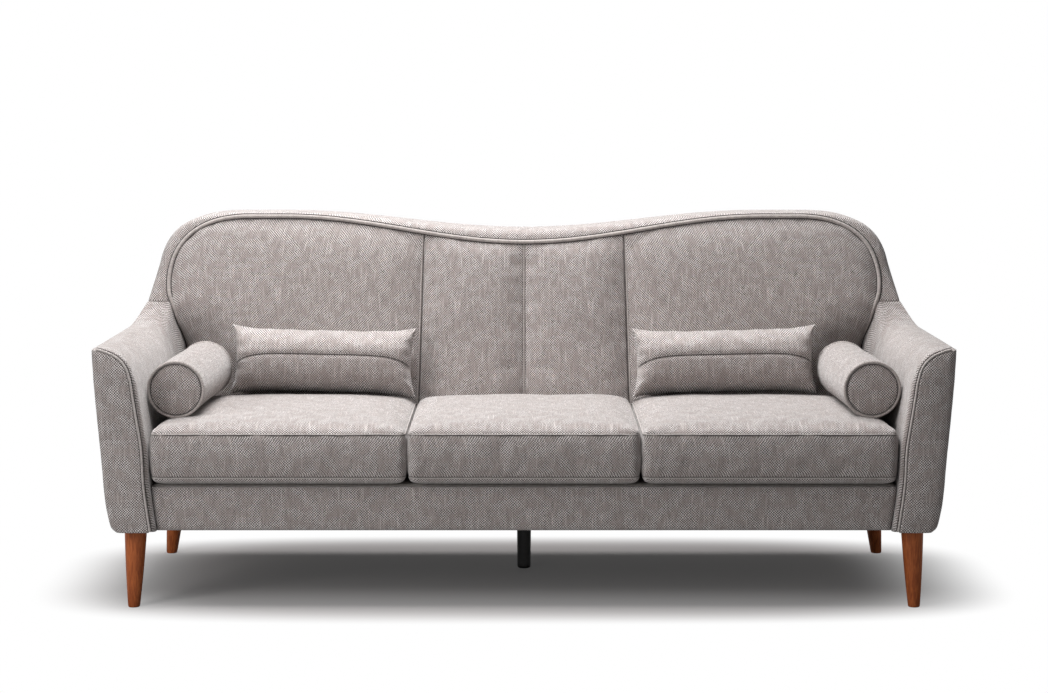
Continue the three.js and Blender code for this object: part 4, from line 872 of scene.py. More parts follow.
def thicken(piece, wall):
    """Give an open cover a wall on its inner side."""
    solid = piece.modifiers.new("wall", "SOLIDIFY")
    solid.thickness = wall
    solid.offset = -1
    apply_modifiers(piece)


def refine(piece):
    """Subdivide smoothly once, in every view alike."""
    finer = piece.modifiers.new("finer", "SUBSURF")
    finer.levels = finer.render_levels = 1
    apply_modifiers(piece)


def soft_noise(points, size, seed):
    """Smooth waves of about the given size, from a few directions, between about -1 and 1."""
    picker = np.random.default_rng(seed)
    value = np.zeros(len(points))
    waves = 9
    for _ in range(waves):
        direction = picker.normal(size=3)
        direction /= np.linalg.norm(direction)
        pitch = size * picker.uniform(0.7, 1.5)
        value += np.sin(points @ direction * FULL_TURN / pitch + picker.uniform(0, FULL_TURN))
    return value / waves ** 0.5


def unevenness(points, size, seed, height, gaps, reach):
    """The slight waves of filled cloth, which fade out towards the rim."""
    return soft_noise(points, size, seed) * height * np.clip(gaps / reach, 0, 1)


def puffed(piece, held, pressure, slack, cap, seed):
    """Let a closed cloth swell with its held points pinned, then keep the shape within a cap."""
    rest = corners_of(piece)
    start = rest + np.stack([soft_noise(rest, START_WAVE, seed + k) * START_HEIGHT for k in range(3)], 1)
    start[held] = rest[held]
    move_corners(piece, start)
    pins = piece.vertex_groups.new(name="held")
    pins.add([int(i) for i in np.flatnonzero(held)], 1.0, "REPLACE")
    cloth = piece.modifiers.new("swell", "CLOTH")
    for name, value in SWELL_CLOTH.items():
        setattr(cloth.settings, name, value)
    cloth.settings.shrink_min = -slack
    cloth.settings.uniform_pressure_force = pressure
    cloth.settings.effector_weights.gravity = 0
    cloth.collision_settings.use_self_collision = False
    cloth.point_cache.frame_start = 1
    cloth.point_cache.frame_end = SWELL_FRAMES
    for step in range(1, SWELL_FRAMES + 1):
        bpy.context.scene.frame_set(step)
        swollen = piece.evaluated_get(bpy.context.evaluated_depsgraph_get()).data
    found = np.empty(len(swollen.vertices) * 3)
    swollen.vertices.foreach_get("co", found)
    piece.modifiers.clear()
    piece.vertex_groups.clear()
    bpy.context.scene.frame_set(1)
    shift = found.reshape(-1, 3) - rest
    length = np.linalg.norm(shift, axis=1)
    kept = cap * np.tanh(length / cap) / np.maximum(length, 1e-9)
    move_corners(piece, rest + shift * kept[:, None])
    average, most = (round(float(value) * 1000, 1) for value in (length.mean(), length.max()))
    print(piece.name, "moved by", average, "mm, at most", most)


def nearest_in(points):
    """A search tree that finds the nearest of some points."""
    tree = kdtree.KDTree(len(points))
    for i, point in enumerate(points):
        tree.insert(tuple(point), i)
    tree.balance()
    return tree


def near_points(piece, lines):
    """Which of a piece's points lie on the given lines of points."""
    tree = nearest_in([point for line in lines for point in line])
    return np.array([tree.find(vertex.co)[2] < TOUCHING for vertex in piece.data.vertices])


def offset_line(line, distance):
    """A flat line of points moved sideways, to its left when the distance is positive."""
    along = np.gradient(np.asarray(line, float), axis=0)
    normal = np.stack([-along[:, 1], along[:, 0]], 1)
    return line + normal / np.linalg.norm(normal, axis=1)[:, None] * distance


print("cloth helpers ready")

# %% [markdown]
# ## The arms
# Each arm's cover is drawn through the section at many depths. Its front edge turns over the seam
# with a small radius, and its foot stays open where the seat frame goes through.

# %% Arm covers
ARM_WALL = 0.006
ARM_PANEL_GAP = 0.0003
FRAME_PASSAGE_TOP = 0.3003
FRAME_PASSAGE_START = 0.0447
FRAME_PASSAGE_SIDE = 0.95
ARM_MIDDLE = (0.965, 0.42)
ROLL_MIDDLE = (0.975, 0, 0.55)
PLEAT_REACH = 0.03
PLEAT_HEIGHT = 0.0016
PLEAT_PITCH = 0.019


def arm_cover():
    start = PANEL_DEPTH + ARM_PANEL_GAP
    turning = np.linspace(0, 1, 7)
    stations = [(start + EDGE_ROUND * t, PANEL_INSET * (1 - math.sqrt(1 - (1 - t) ** 2))) for t in turning]
    stations += [(depth, 0.0) for depth in np.linspace(start + EDGE_ROUND, INNER_SWEEP_START, 16)[1:]]
    rising = np.sin(np.linspace(0, 1, 26) * math.pi / 2)[1:]
    stations += [(mix(INNER_SWEEP_START, SWEEP_TOP, share), 0.0) for share in rising]
    rows = []
    for depth, inset in stations:
        side, roll = arm_section(depth, inset)
        line = np.concatenate([side, roll[1:]])
        rows.append(np.array([place(x, depth, z) for x, z in line]))
    last = rows[-1]
    for share in np.linspace(0, 1, 8)[1:]:
        rear = [place(x, mix(SWEEP_TOP, back_rear(z), share), z) for x, _, z in last]
        rows.append(np.array(rear))
    grid = np.array(rows)
    flat = flat_cloth(grid)[..., ::-1]
    grid = pleated(grid)
    made = skin("arm_cloth_right", [(grid, flat)])
    turn_outwards(made, lambda centres: np.stack(
        [np.full(len(centres), ARM_MIDDLE[0]), centres[:, 1], np.full(len(centres), ARM_MIDDLE[1])], 1))
    drop_faces(made, lambda c: (
        c.x < FRAME_PASSAGE_SIDE and c.z < FRAME_PASSAGE_TOP and c.y - FRONT > FRAME_PASSAGE_START))
    thicken(made, ARM_WALL)
    return made


def pleated(grid):
    """Short gathers that run back from the front seam over the roll and fade out."""
    along = lengths(grid[0])
    roll_start = along[sum(SIDE_STEPS)]
    roll_end = along[sum(SIDE_STEPS) + sum(ROLL_STEPS[:6])]
    depth = grid[..., 1] - FRONT - PANEL_DEPTH
    fade = np.exp(-np.maximum(depth, 0) / PLEAT_REACH) * eased(depth, 0.0, 0.012)
    here = eased(along, roll_start, roll_start + 0.03) * (1 - eased(along, roll_end - 0.02, roll_end + 0.03))
    turns = along * FULL_TURN / PLEAT_PITCH
    wave = np.sin(turns) + 0.5 * np.sin(turns / 1.7 + 1.1)
    push = PLEAT_HEIGHT * fade * (here * wave)[None]
    away = grid - np.array(ROLL_MIDDLE)
    away[..., 1] = 0
    away /= np.linalg.norm(away, axis=2)[..., None]
    return grid + away * push[..., None]


arm_right = finish_pair(arm_cover(), cover_cloth, "sofa_frame", "arm_cover_right", fill=0.8)
print("arm cover:", len(arm_right.data.polygons), "faces")

# %% Arm front panels and their welts
PANEL_CROWN = 0.005
PANEL_OUTER_ROUND = 0.02
PANEL_INNER_ROUND = 0.006
PANEL_INNER_DROP = 0.003
PANEL_SWELL_REACH = 0.03
ARM_WELT_RADIUS = 0.0027
ARM_WELT_DEPTH = 0.003


def rim_rise(points, rim, reach):
    """0 at the rim, rising like a quarter round to 1 at the given reach inwards."""
    tree = nearest_in([(x, 0, z) for x, z in rim])
    gaps = np.array([tree.find((x, 0, z))[2] for x, z in points])
    share = np.clip(gaps / reach, 0, 1)
    return np.sqrt(1 - (1 - share) ** 2), gaps


def arm_front_panel():
    side, roll = arm_section(0.0, PANEL_INSET)
    rows = 90
    outer = placed_along(side, np.linspace(0, 1, rows))
    inner = placed_along(roll[::-1], np.linspace(0, 1, rows))
    shares = crowded(25)
    flat_grid = inner[:, None] * (1 - shares[None, :, None]) + outer[:, None] * shares[None, :, None]
    side_rim = placed_along(side, np.linspace(0, 1, 900))
    roll_rim = placed_along(roll, np.linspace(0, 1, 1200))
    rim = np.concatenate([side_rim, roll_rim, np.linspace(inner[0], outer[0], 160)])
    flat_points = flat_grid.reshape(-1, 2)
    outer_rise, _ = rim_rise(flat_points, side_rim, PANEL_OUTER_ROUND)
    inner_rise, _ = rim_rise(flat_points, roll_rim, PANEL_INNER_ROUND)
    _, gaps = rim_rise(flat_points, rim, PANEL_INNER_ROUND)
    swell = 1 - np.exp(-gaps / PANEL_SWELL_REACH)
    uneven = unevenness(upright(flat_points), 0.12, 5, 0.0008, gaps, 0.02)
    drop = np.maximum(PANEL_DEPTH * (1 - outer_rise), PANEL_INNER_DROP * (1 - inner_rise))
    depth = drop - PANEL_CROWN * swell + uneven
    front = upright(flat_points, FRONT + depth).reshape(rows, -1, 3)
    back = upright(flat_points, FRONT + PANEL_DEPTH).reshape(rows, -1, 3)
    return skin("arm_panel_right", [(front, front[..., ::2]), patch(back), patch(edge_between(front, back))])


def arm_welt_path(aside, depth):
    _, roll = arm_section(0.0, PANEL_INSET)
    line = placed_along(roll, np.linspace(0, 1, 160))
    turned = np.gradient(line, axis=0)
    normal = np.stack([-turned[:, 1], turned[:, 0]], 1)
    normal /= np.linalg.norm(normal, axis=1)[:, None]
    centre = line.mean(0) + [0.02, 0]
    facing = np.sign(((line - centre) * normal).sum(1))[:, None]
    line = line + normal * facing * aside
    return [place(x, depth, z) for x, z in line[4:-1]]


panel_right = finish_pair(arm_front_panel(), cover_cloth, "sofa_frame", "arm_front_panel_right", fill=0.8)
# The arm welt is cut from the lighter cloth as a painted highlight, and the two dark cords beside it are
# painted shade in the seam on either side.
arm_welt_right = along_paths(
    "arm_welt_right", cords, [arm_welt_path(ARM_WELT_RADIUS, ARM_WELT_DEPTH)],
    Radius=ARM_WELT_RADIUS, Step=0.004, Unevenness=0.0006, Material=highlit_seam_cloth)
arm_seam_right = along_paths(
    "arm_seam_right", cords, [arm_welt_path(-0.0012, 0.0022), arm_welt_path(0.0068, 0.0075)],
    Radius=0.001, Step=0.005, Sides=8, Unevenness=0.0002, Material=painted_seam_shadow)
finish_pair(arm_seam_right, painted_seam_shadow, "sofa_frame")
finish_pair(arm_welt_right, highlit_seam_cloth, "sofa_frame", "arm_piping_right")
print("arm panel:", len(panel_right.data.polygons), "faces, welt:", len(arm_welt_right.data.polygons))

# %% [markdown]
# ## The back
# A border band runs over the back from arm to arm, with its front edge rounded over. Inside it a
# welt, and inside the welt four padded panels with upright seams. Behind, one flat panel closes it.

# %% Border band
BORDER_ROUND = 0.024
BORDER_WALL = 0.007
BORDER_PUFF = 0.0015
BORDER_DEPTH = 0.16
FOOT_EASE = -0.0078
FOOT_EASE_HEIGHT = 0.09
FOOT_ROUND = 0.009
FOOT_TUCK = 0.004
CREASE_DEPTH = 0.058
INSIDE_DEPTH = 0.78
INSIDE_HEIGHT = 0.6


def foot_ease(z):
    """How far the back's edge gives way: forward at the cross seam, and back down beside the arm."""
    z = np.asarray(z, float)
    above = np.clip(1 - (z - CROSS_SEAM) / FOOT_EASE_HEIGHT, 0, 1)
    beside = mix(FOOT_EASE, CREASE_DEPTH, eased(CROSS_SEAM - z, 0.0, 0.14))
    return np.where(z < CROSS_SEAM, beside, FOOT_EASE * above * above)


def border():
    count = 300
    shares = np.linspace(0, 1, count)
    outer = placed_along(whole(outer_half), shares)
    inner = placed_along(whole(welt_half), shares)
    grid, cloth = [], []
    for (ox, oz), (ix, iz) in zip(outer, inner):
        turn_radius = mix(FOOT_ROUND, BORDER_ROUND, float(eased(oz, CROSS_SEAM, CROSS_SEAM + 0.1)))
        out = np.array([ox - ix, oz - iz])
        width = np.linalg.norm(out)
        out = out / width
        column = []
        flat_width = max(width - turn_radius, 0.0)
        first = math.asin(max((turn_radius - width) / turn_radius, 0.0))
        sunk = turn_radius * (1 - math.cos(first))
        for share in np.linspace(0, 1, 7)[:-1]:
            puff = BORDER_PUFF * math.sin(math.pi * share) * min(flat_width / 0.03, 1)
            column.append((flat_width * share, sunk - puff))
        for turn in np.linspace(0, 1, 9):
            angle = mix(first, math.pi / 2, turn)
            reach = width - turn_radius + turn_radius * math.sin(angle)
            column.append((reach, turn_radius * (1 - math.cos(angle))))
        for share in np.linspace(0, 1, 12)[1:]:
            column.append((width, mix(turn_radius, BORDER_DEPTH, share)))
        cloth.append([(ix + out[0] * far, iz + out[1] * far) for far in lengths(np.array(column))])
        points = []
        for reach, depth in column:
            x, z = ix + out[0] * reach, iz + out[1] * reach
            share = min(depth / BORDER_DEPTH, 1.0)
            near = back_front(z) + float(foot_ease(max(z, CROSS_SEAM)))
            points.append(place(x, mix(near, back_rear(z) - 0.0003, share), z))
        grid.append(points)
    grid = np.array(grid)
    grid[[0, -1], :, 2] -= FOOT_TUCK
    made = skin("border_cloth", [(grid, np.array(cloth))])
    turn_outwards(made, lambda c: np.stack(
        [c[:, 0] * 0.9, np.full(len(c), FRONT + INSIDE_DEPTH), np.full(len(c), INSIDE_HEIGHT)], 1))
    thicken(made, BORDER_WALL)
    return made


border_cloth = finish_piece(border(), cover_cloth, "sofa_frame", "back_border", fill=0.7)
print("border:", len(border_cloth.data.polygons), "faces")

# %% Side edges of the inside back
PANEL_FLOOR = DECK_TOP + 0.0003


def side_edge():
    """The arm's inner face at the back, from the cross seam down to the deck."""
    _, roll = arm_section(SWEEP_END, 0.0)
    below = roll[sum(ROLL_STEPS[:4]):]
    line = below[below[:, 1] < CROSS_SEAM - 0.002]
    line = line[line[:, 1] > PANEL_FLOOR]
    foot = [np.interp(PANEL_FLOOR, below[::-1, 1], below[::-1, 0]), PANEL_FLOOR]
    return np.concatenate([line, [foot]]) - [0.001, 0]


def side_x(z):
    """Where the back ends at a height: at the welt above the cross seam, at the arm below it."""
    above = welt_half[(welt_half[:, 1] < CREST - 0.12) & (welt_half[:, 0] > WELT_CREST_END)]
    line = np.concatenate([above, side_edge()])[::-1]
    return np.interp(z, line[:, 1], line[:, 0])


print("side edge from", side_edge()[0].round(3), "to", side_edge()[-1].round(3))

# %% Welt round the inside back
BACK_WELT_RADIUS = 0.005
BACK_WELT_PROUD = 0.0022
WELT_END = 0.47
WELT_SMOOTHING = 0.06
WELT_BESIDE = 0.0095
WELT_SUNK = 0.006


def welt_line(aside, proud):
    """Over the back from arm to arm and on down beside the arms, a little proud of the back."""
    half = beside_welt(aside)
    half = half[half[:, 1] > CROSS_SEAM + 0.012]
    heights = np.linspace(CROSS_SEAM - 0.012, WELT_END, 50)
    beside = np.stack([side_x(heights) + aside - WELT_BESIDE, heights], 1)
    line = placed_along(whole(np.concatenate([half, beside])), np.linspace(0, 1, 520))
    sunk = WELT_SUNK * eased(CROSS_SEAM - line[:, 1], 0.0, 0.12) - proud
    points = np.array([
        place(x, back_front(z) + float(foot_ease(z)) + float(low), z) for (x, z), low in zip(line, sunk)])
    near_seam = np.abs(points[1:-1, 2] - CROSS_SEAM) < WELT_SMOOTHING
    for _ in range(24):
        even = (points[:-2] + 2 * points[1:-1] + points[2:]) / 4
        points[1:-1][near_seam] = even[near_seam]
    return points


def beside_welt(aside):
    moved = offset_line(placed_along(welt_half, np.linspace(0, 1, 300)), aside)
    moved[0, 0] = 0.0
    return moved


# The back welt is cut from the lighter cloth as a painted highlight, and the dark cords along both its sides
# are painted shade where the seams sink.
back_welt = along_paths(
    "back_welt", cords, [welt_line(0.0025, BACK_WELT_PROUD)],
    Radius=BACK_WELT_RADIUS, Step=0.005, Unevenness=0.0008, Material=highlit_welt_cloth)
finish_piece(back_welt, highlit_welt_cloth, "sofa_frame", "back_piping")
welt_shade_lines = [welt_line(aside, proud) for aside, proud in ((0.0086, 0.0016), (-0.0036, 0.0006))]
back_welt_shade_lines = along_paths(
    "back_welt_shade_lines", cords, welt_shade_lines,
    Radius=0.0015, Step=0.005, Sides=8, Unevenness=0.0003, Material=painted_seam_shadow)
finish_piece(back_welt_shade_lines, painted_seam_shadow, "sofa_frame")
print("back welt:", len(back_welt.data.polygons), "faces")

# %% Padded panels of the inside back
SEAM_FOOT = 0.286
SEAM_TOP = 0.267
PANEL_THICKNESS = 0.047
PANEL_SETBACK = 0.0025
BACK_CROWN = 0.024
BACK_EDGE_REACH = 0.05
BACK_SWELL_REACH = 0.075
BACK_EDGE_SHARE = 0.35
BACK_DOME_SHARE = 0.65
CREASE_REACH = 0.075
HALF_SEAM = 0.00025


def seam_x(z):
    return mix(SEAM_FOOT, SEAM_TOP, (z - DECK_TOP) / (CREST - DECK_TOP))


def welt_z(x):
    rise = (1 - np.cos(np.pi * np.minimum(np.abs(x) / CREST_START, 1))) / 2
    return mix(CREST - WELT_DIP_DROP, CREST - WELT_HUMP_DROP, rise) - 2 * HALF_SEAM


def panel_grid(outer, columns, rows):
    """Front face of a panel in the plane of the back, as rows of points from the deck up."""
    if outer:
        contour = welt_half[welt_half[:, 0] > SEAM_TOP + 0.03] - [0.0005, 0.0005]
        corner = int(np.argmax(contour @ np.array([1.0, 1.25])))
        top_x = seam_x(welt_z(SEAM_TOP)) + HALF_SEAM
        top = np.concatenate([[[top_x, welt_z(top_x)]], contour[:corner + 1]])
        side = np.concatenate([contour[corner:-1], side_edge()])[::-1]
        foot = np.array([[seam_x(PANEL_FLOOR) + HALF_SEAM, PANEL_FLOOR], side[0]])
        seam = np.array([foot[0], top[0]])
        lines = (foot, top, seam, side)
    else:
        top_x = seam_x(welt_z(SEAM_TOP)) - HALF_SEAM
        across = np.linspace(HALF_SEAM, top_x, 60)
        top = np.stack([across, welt_z(across)], 1)
        foot = np.array([[HALF_SEAM, PANEL_FLOOR], [seam_x(PANEL_FLOOR) - HALF_SEAM, PANEL_FLOOR]])
        lines = (foot, top, np.array([foot[0], top[0]]), np.array([foot[1], top[-1]]))
    bottom, top, left, right = lines
    u, v = crowded(columns, 0.7), crowded(rows, 0.7)
    return patch_between(
        placed_along(bottom, u), placed_along(top, u), placed_along(left, v), placed_along(right, v))


def back_panel(name, outer):
    flat = panel_grid(outer, 46 if outer else 30, 50)
    rows, columns = flat.shape[:2]
    rim = rim_of(flat)
    rim_dense = placed_along(np.concatenate([rim, rim[:1]]), np.linspace(0, 1, 1600))
    points = flat.reshape(-1, 2)
    near, gaps = rim_rise(points, rim_dense, BACK_EDGE_REACH)
    far = 1 - np.exp(-gaps / BACK_SWELL_REACH)
    u = np.linspace(-1, 1, columns)[None, :]
    v = np.linspace(-1, 1, rows)[:, None]
    dome = ((1 - np.abs(u) ** 2.6) * (1 - np.abs(v) ** 3.2)).reshape(-1) ** 0.7
    uneven = unevenness(upright(points), 0.24, 11 if outer else 12, 0.0016, gaps, 0.06)
    rise = BACK_CROWN * (BACK_EDGE_SHARE * near * far + BACK_DOME_SHARE * dome)
    depth = back_front(points[:, 1]) + PANEL_SETBACK - rise - uneven
    behind = FRONT + back_front(points[:, 1]) + PANEL_THICKNESS
    if outer:
        from_side = np.maximum(side_x(points[:, 1]) - points[:, 0], 0)
        crease = foot_ease(points[:, 1]) * np.exp(-from_side / CREASE_REACH)
        depth += crease
        behind += np.maximum(crease, 0)
    front = upright(points, FRONT + depth).reshape(rows, columns, 3)
    back = upright(points, behind).reshape(rows, columns, 3)
    edge = edge_between(front, back)
    made = skin(name, [patch(front), patch(back), patch(edge)])
    puffed(made, near_points(made, [edge[0], back.reshape(-1, 3)]), 3.0, 0.012, 0.006, seed=61)
    refine(made)
    return made


outer_right, inner_right = (
    finish_pair(
        back_panel("back_cloth_" + part + "_right", part == "outer"), cover_cloth,
        "sofa_frame", "back_panel_" + part + "_right", fill=0.7)
    for part in ("outer", "inner"))
# Each panel seam gets light ridges in the lighter welt cloth, a painted highlight, and soft dark lines that
# are painted shade in the seam.
heights = np.linspace(PANEL_FLOOR + 0.004, 1.0, 90)
for name, finish, radius, proud, moves in (
    ("back_seam_ridges", highlit_welt_cloth, 0.0019, 0.0002, ((0.0, "middle"), (0.0032, "side"))),
    ("back_seam_shade_lines", painted_soft_seam_shadow, 0.0009, 0.0002, ((-0.0028, "middle"), (0.0028, "middle"), (0.0, "side"))),
):
    paths = []
    for aside, kind in moves:
        for side in ((1,) if kind == "middle" else (1, -1)):
            x = aside + heights * 0 if kind == "middle" else side * (seam_x(heights) + aside)
            kept = heights < welt_z(x) - 0.001
            paths.append([
                place(px, back_front(z) + PANEL_SETBACK - 0.002 - proud, z)
                for px, z in zip(x[kept], heights[kept])])
    seam = along_paths(
        name, cords, paths, Radius=radius, Step=0.005, Sides=8, Unevenness=0.0006, Material=finish)
    finish_piece(seam, finish, "sofa_frame")
print("back panels:", len(outer_right.data.polygons), "and", len(inner_right.data.polygons), "faces")

# %% Outside back
OUTSIDE_EDGE = 0.003


def outside_back():
    side, _ = arm_section(SWEEP_TOP, 0.0)
    side = side[side[:, 1] < CROSS_SEAM - 0.002][::-1] - [OUTSIDE_EDGE, 0]
    half = np.concatenate([outer_half - [OUTSIDE_EDGE, OUTSIDE_EDGE], side])
    corner = int(np.argmax(half @ np.array([1.0, 1.0])))
    foot, middle = half[-1], np.array([0.0, half[-1][1]])
    u, v = crowded(64, 0.5), crowded(60, 0.5)
    grid = patch_between(
        placed_along(np.array([middle, foot]), u), placed_along(half[:corner + 1], u),
        placed_along(np.array([middle, half[0]]), v), placed_along(half[corner:][::-1], v))
    full = np.concatenate([grid[:, :0:-1] * [-1, 1], grid], 1)
    points = full.reshape(-1, 2)
    rim = placed_along(np.concatenate([whole(half), [half[-1] * [-1, 1]]]), np.linspace(0, 1, 2500))
    rise, gaps = rim_rise(points, rim, OUTSIDE_EDGE * 2)
    plane = FRONT + REAR - (CREST - points[:, 1]) * REAR_RAKE
    sag = 0.0012 * np.clip(gaps / 0.1, 0, 1)
    rear = upright(points, plane - OUTSIDE_EDGE * (1 - rise) - sag).reshape(*full.shape[:2], 3)
    near = upright(points, plane - OUTSIDE_BACK).reshape(*full.shape[:2], 3)
    return skin("outside_back_cloth", [patch(rear), patch(near), patch(edge_between(rear, near))])


outside_cloth = finish_piece(outside_back(), cover_cloth, "sofa_frame", "outside_back_panel")
print("outside back:", len(outside_cloth.data.polygons), "faces")

# %% [markdown]
# ## The seat cushions
# Three box cushions lie side by side. Each has a crowned top panel, a boxing band that swells a
# little, and a bottom panel; the three are joined by two seams, and the upper seam stands up as a
# thin ridge.

# %% Box cushions
SEAT_FRONT = 0.012
SEAT_BACK = 0.602
SEAT_CORNER = 0.021
SEAT_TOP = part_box("seat_cushion_centre")[1].z
SEAT_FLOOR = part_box("seat_cushion_centre")[0].z
SEAM_DRAW = 0.0045
SEAT_SETTLED = 0.008
SEAT_COUNT = 44
SEAT_EDGE_REACH = 0.06
SEAT_EDGE_SHARE = 0.42
SEAT_DOME_SHARE = 0.58


def rounded_rim(half_x, half_y, radius):
    """Four lines of a rounded rectangle, each from corner middle to corner middle."""
    def corner(cx, cy, start, end):
        angles = np.linspace(start, end, 7)
        return np.stack([cx + radius * np.cos(angles), cy + radius * np.sin(angles)], 1)
    ix, iy = half_x - radius, half_y - radius
    octant = math.pi / 4
    bottom = np.concatenate(
        [corner(-ix, -iy, 5 * octant, 6 * octant), corner(ix, -iy, 6 * octant, 7 * octant)])
    top = np.concatenate([corner(-ix, iy, 3 * octant, 2 * octant), corner(ix, iy, 2 * octant, octant)])
    left = np.concatenate([corner(-ix, -iy, 5 * octant, 4 * octant), corner(-ix, iy, 4 * octant, 3 * octant)])
    right = np.concatenate([corner(ix, -iy, 7 * octant, 8 * octant), corner(ix, iy, 0, octant)])
    return bottom, top, left, right


def box_cushion(name, centre_x, half_x, seed):
    half_y = (SEAT_BACK - SEAT_FRONT) / 2
    middle = (SEAT_BACK + SEAT_FRONT) / 2
    shares = crowded(SEAT_COUNT, 0.6)
    lines = [placed_along(line, shares) for line in rounded_rim(half_x, half_y, SEAT_CORNER)]
    flat = patch_between(*lines)
    points = flat.reshape(-1, 2)
    rim = rim_of(flat)
    rim_dense = placed_along(np.concatenate([rim, rim[:1]]), np.linspace(0, 1, 1200))
    near, gaps = rim_rise(points, rim_dense, SEAT_EDGE_REACH)
    dome = (1 - np.abs(points[:, 0] / half_x) ** 3.0) * (1 - np.abs(points[:, 1] / half_y) ** 3.0)
    dome = np.clip(dome, 0, 1) ** 0.6
    crown = SEAT_TOP - SEAT_TOP_SEAM - SEAT_SETTLED
    uneven = unevenness(level(points), 0.2, seed, 0.0015, gaps, 0.05)
    rise = crown * (SEAT_EDGE_SHARE * near + SEAT_DOME_SHARE * dome) + uneven
    sink = (SEAT_LOWER_SEAM - SEAT_FLOOR) * np.clip(1.15 * near, 0, 1)
    top = level(points, SEAT_TOP_SEAM + np.maximum(rise, 0)).reshape(*flat.shape[:2], 3)
    bottom = level(points, SEAT_LOWER_SEAM - sink).reshape(*flat.shape[:2], 3)
    rim = np.concatenate([rim, rim[:1]])
    outward = np.gradient(rim, axis=0)
    outward = np.stack([outward[:, 1], -outward[:, 0]], 1)
    outward /= np.maximum(np.linalg.norm(outward, axis=1), 1e-9)[:, None]
    outward[0] = outward[-1] = (outward[0] + outward[-1]) / np.linalg.norm(outward[0] + outward[-1])
    band = []
    for share in np.linspace(0, 1, 11):
        swell = SEAM_DRAW * (1 - (2 * share - 1) ** 2) ** 0.5 if 0 < share < 1 else 0.0
        line = rim + outward * (swell - SEAM_DRAW)
        band.append(level(line, mix(SEAT_LOWER_SEAM, SEAT_TOP_SEAM, share)))
    band = np.array(band)
    for sheet, row in ((top, band[-1]), (bottom, band[0])):
        first, second, third, fourth = np.split(row[:-1], 4)
        sheet[0, :-1], sheet[:-1, -1] = first, second
        sheet[-1, :0:-1], sheet[:0:-1, 0] = third, fourth
    move = np.array([centre_x, FRONT + middle, 0])
    made = skin(name, [patch(top + move), patch(bottom + move), patch(band + move)])
    upper, lower = band[-1][:-1] + move, band[0][:-1] + move
    still = near_points(made, [upper, lower, (bottom + move).reshape(-1, 3)])
    puffed(made, still, 3.0, 0.014, 0.0035, seed=seed)
    refine(made)
    return made, upper, lower


SEAT_HALF = 0.2835
SEAT_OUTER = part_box("seat_cushion_right")[1].x
SIDE_SEAT_X = (SEAT_OUTER + SEAT_HALF + 0.0005) / 2
SIDE_SEAT_HALF = (SEAT_OUTER - SEAT_HALF - 0.0005) / 2
for label, centre_x, half_x, seed in (
    ("left", -SIDE_SEAT_X, SIDE_SEAT_HALF, 21),
    ("centre", 0.0, SEAT_HALF, 22),
    ("right", SIDE_SEAT_X, SIDE_SEAT_HALF, 23),
):
    body = "seat_cushion_" + label
    cushion, upper, lower = box_cushion("seat_cloth_" + label, centre_x, half_x, seed)
    finish_piece(cushion, cover_cloth, body, body, fill=0.8)
    # The seam ridges are cut from the lighter cloth as a painted highlight, and the dark lines just below the
    # top seam and just above the bottom seam are painted shade.
    for name, lines, finish, radius, step, uneven in (
        ("seat_ridge_", [upper], highlit_seam_cloth, 0.0018, 0.004, 0.0018),
        ("seat_under_ridge_", [lower - [0, 0, 0.0018]], highlit_seam_cloth, 0.0017, 0.005, 0.0008),
        ("seat_seam_shade_lines_", [upper - [0, 0, 0.003], lower + [0, 0, 0.001]],
         painted_seam_shadow, 0.0013, 0.006, 0.0003),
    ):
        seam = along_paths(
            name + label, cords, lines, closed=True,
            Radius=radius, Step=step, Sides=8, Unevenness=uneven, Material=finish)
        finish_piece(seam, finish, body)
print("seat cushion:", len(cushion.data.polygons), "faces")

# %% [markdown]
# ## Bolsters and pillows
# A round bolster lies along each arm with a welted disc at each end. A lumbar pillow with pointed
# corners leans on the back beside it, with one seam that arches across it from side to side.

# %% Bolsters
BOLSTER_RADIUS = 0.07
BOLSTER_END_CROWN = 0.008
BOLSTER_WELT = 0.004
bolster_low, bolster_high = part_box("bolster_right")
BOLSTER_FRONT = 0.12
BOLSTER_BACK = 0.57
BOLSTER_FRONT_X = bolster_high.x - BOLSTER_RADIUS - 0.001
BOLSTER_TURN = 0.013
BOLSTER_LENGTH = BOLSTER_BACK - BOLSTER_FRONT
BOLSTER_DRAW = 0.0035
BOLSTER_GATHER = 0.0011
BOLSTER_SLACK = 0.0015
BOLSTER_Z = (bolster_low.z + bolster_high.z) / 2 - 0.6 * SEAT_SETTLED


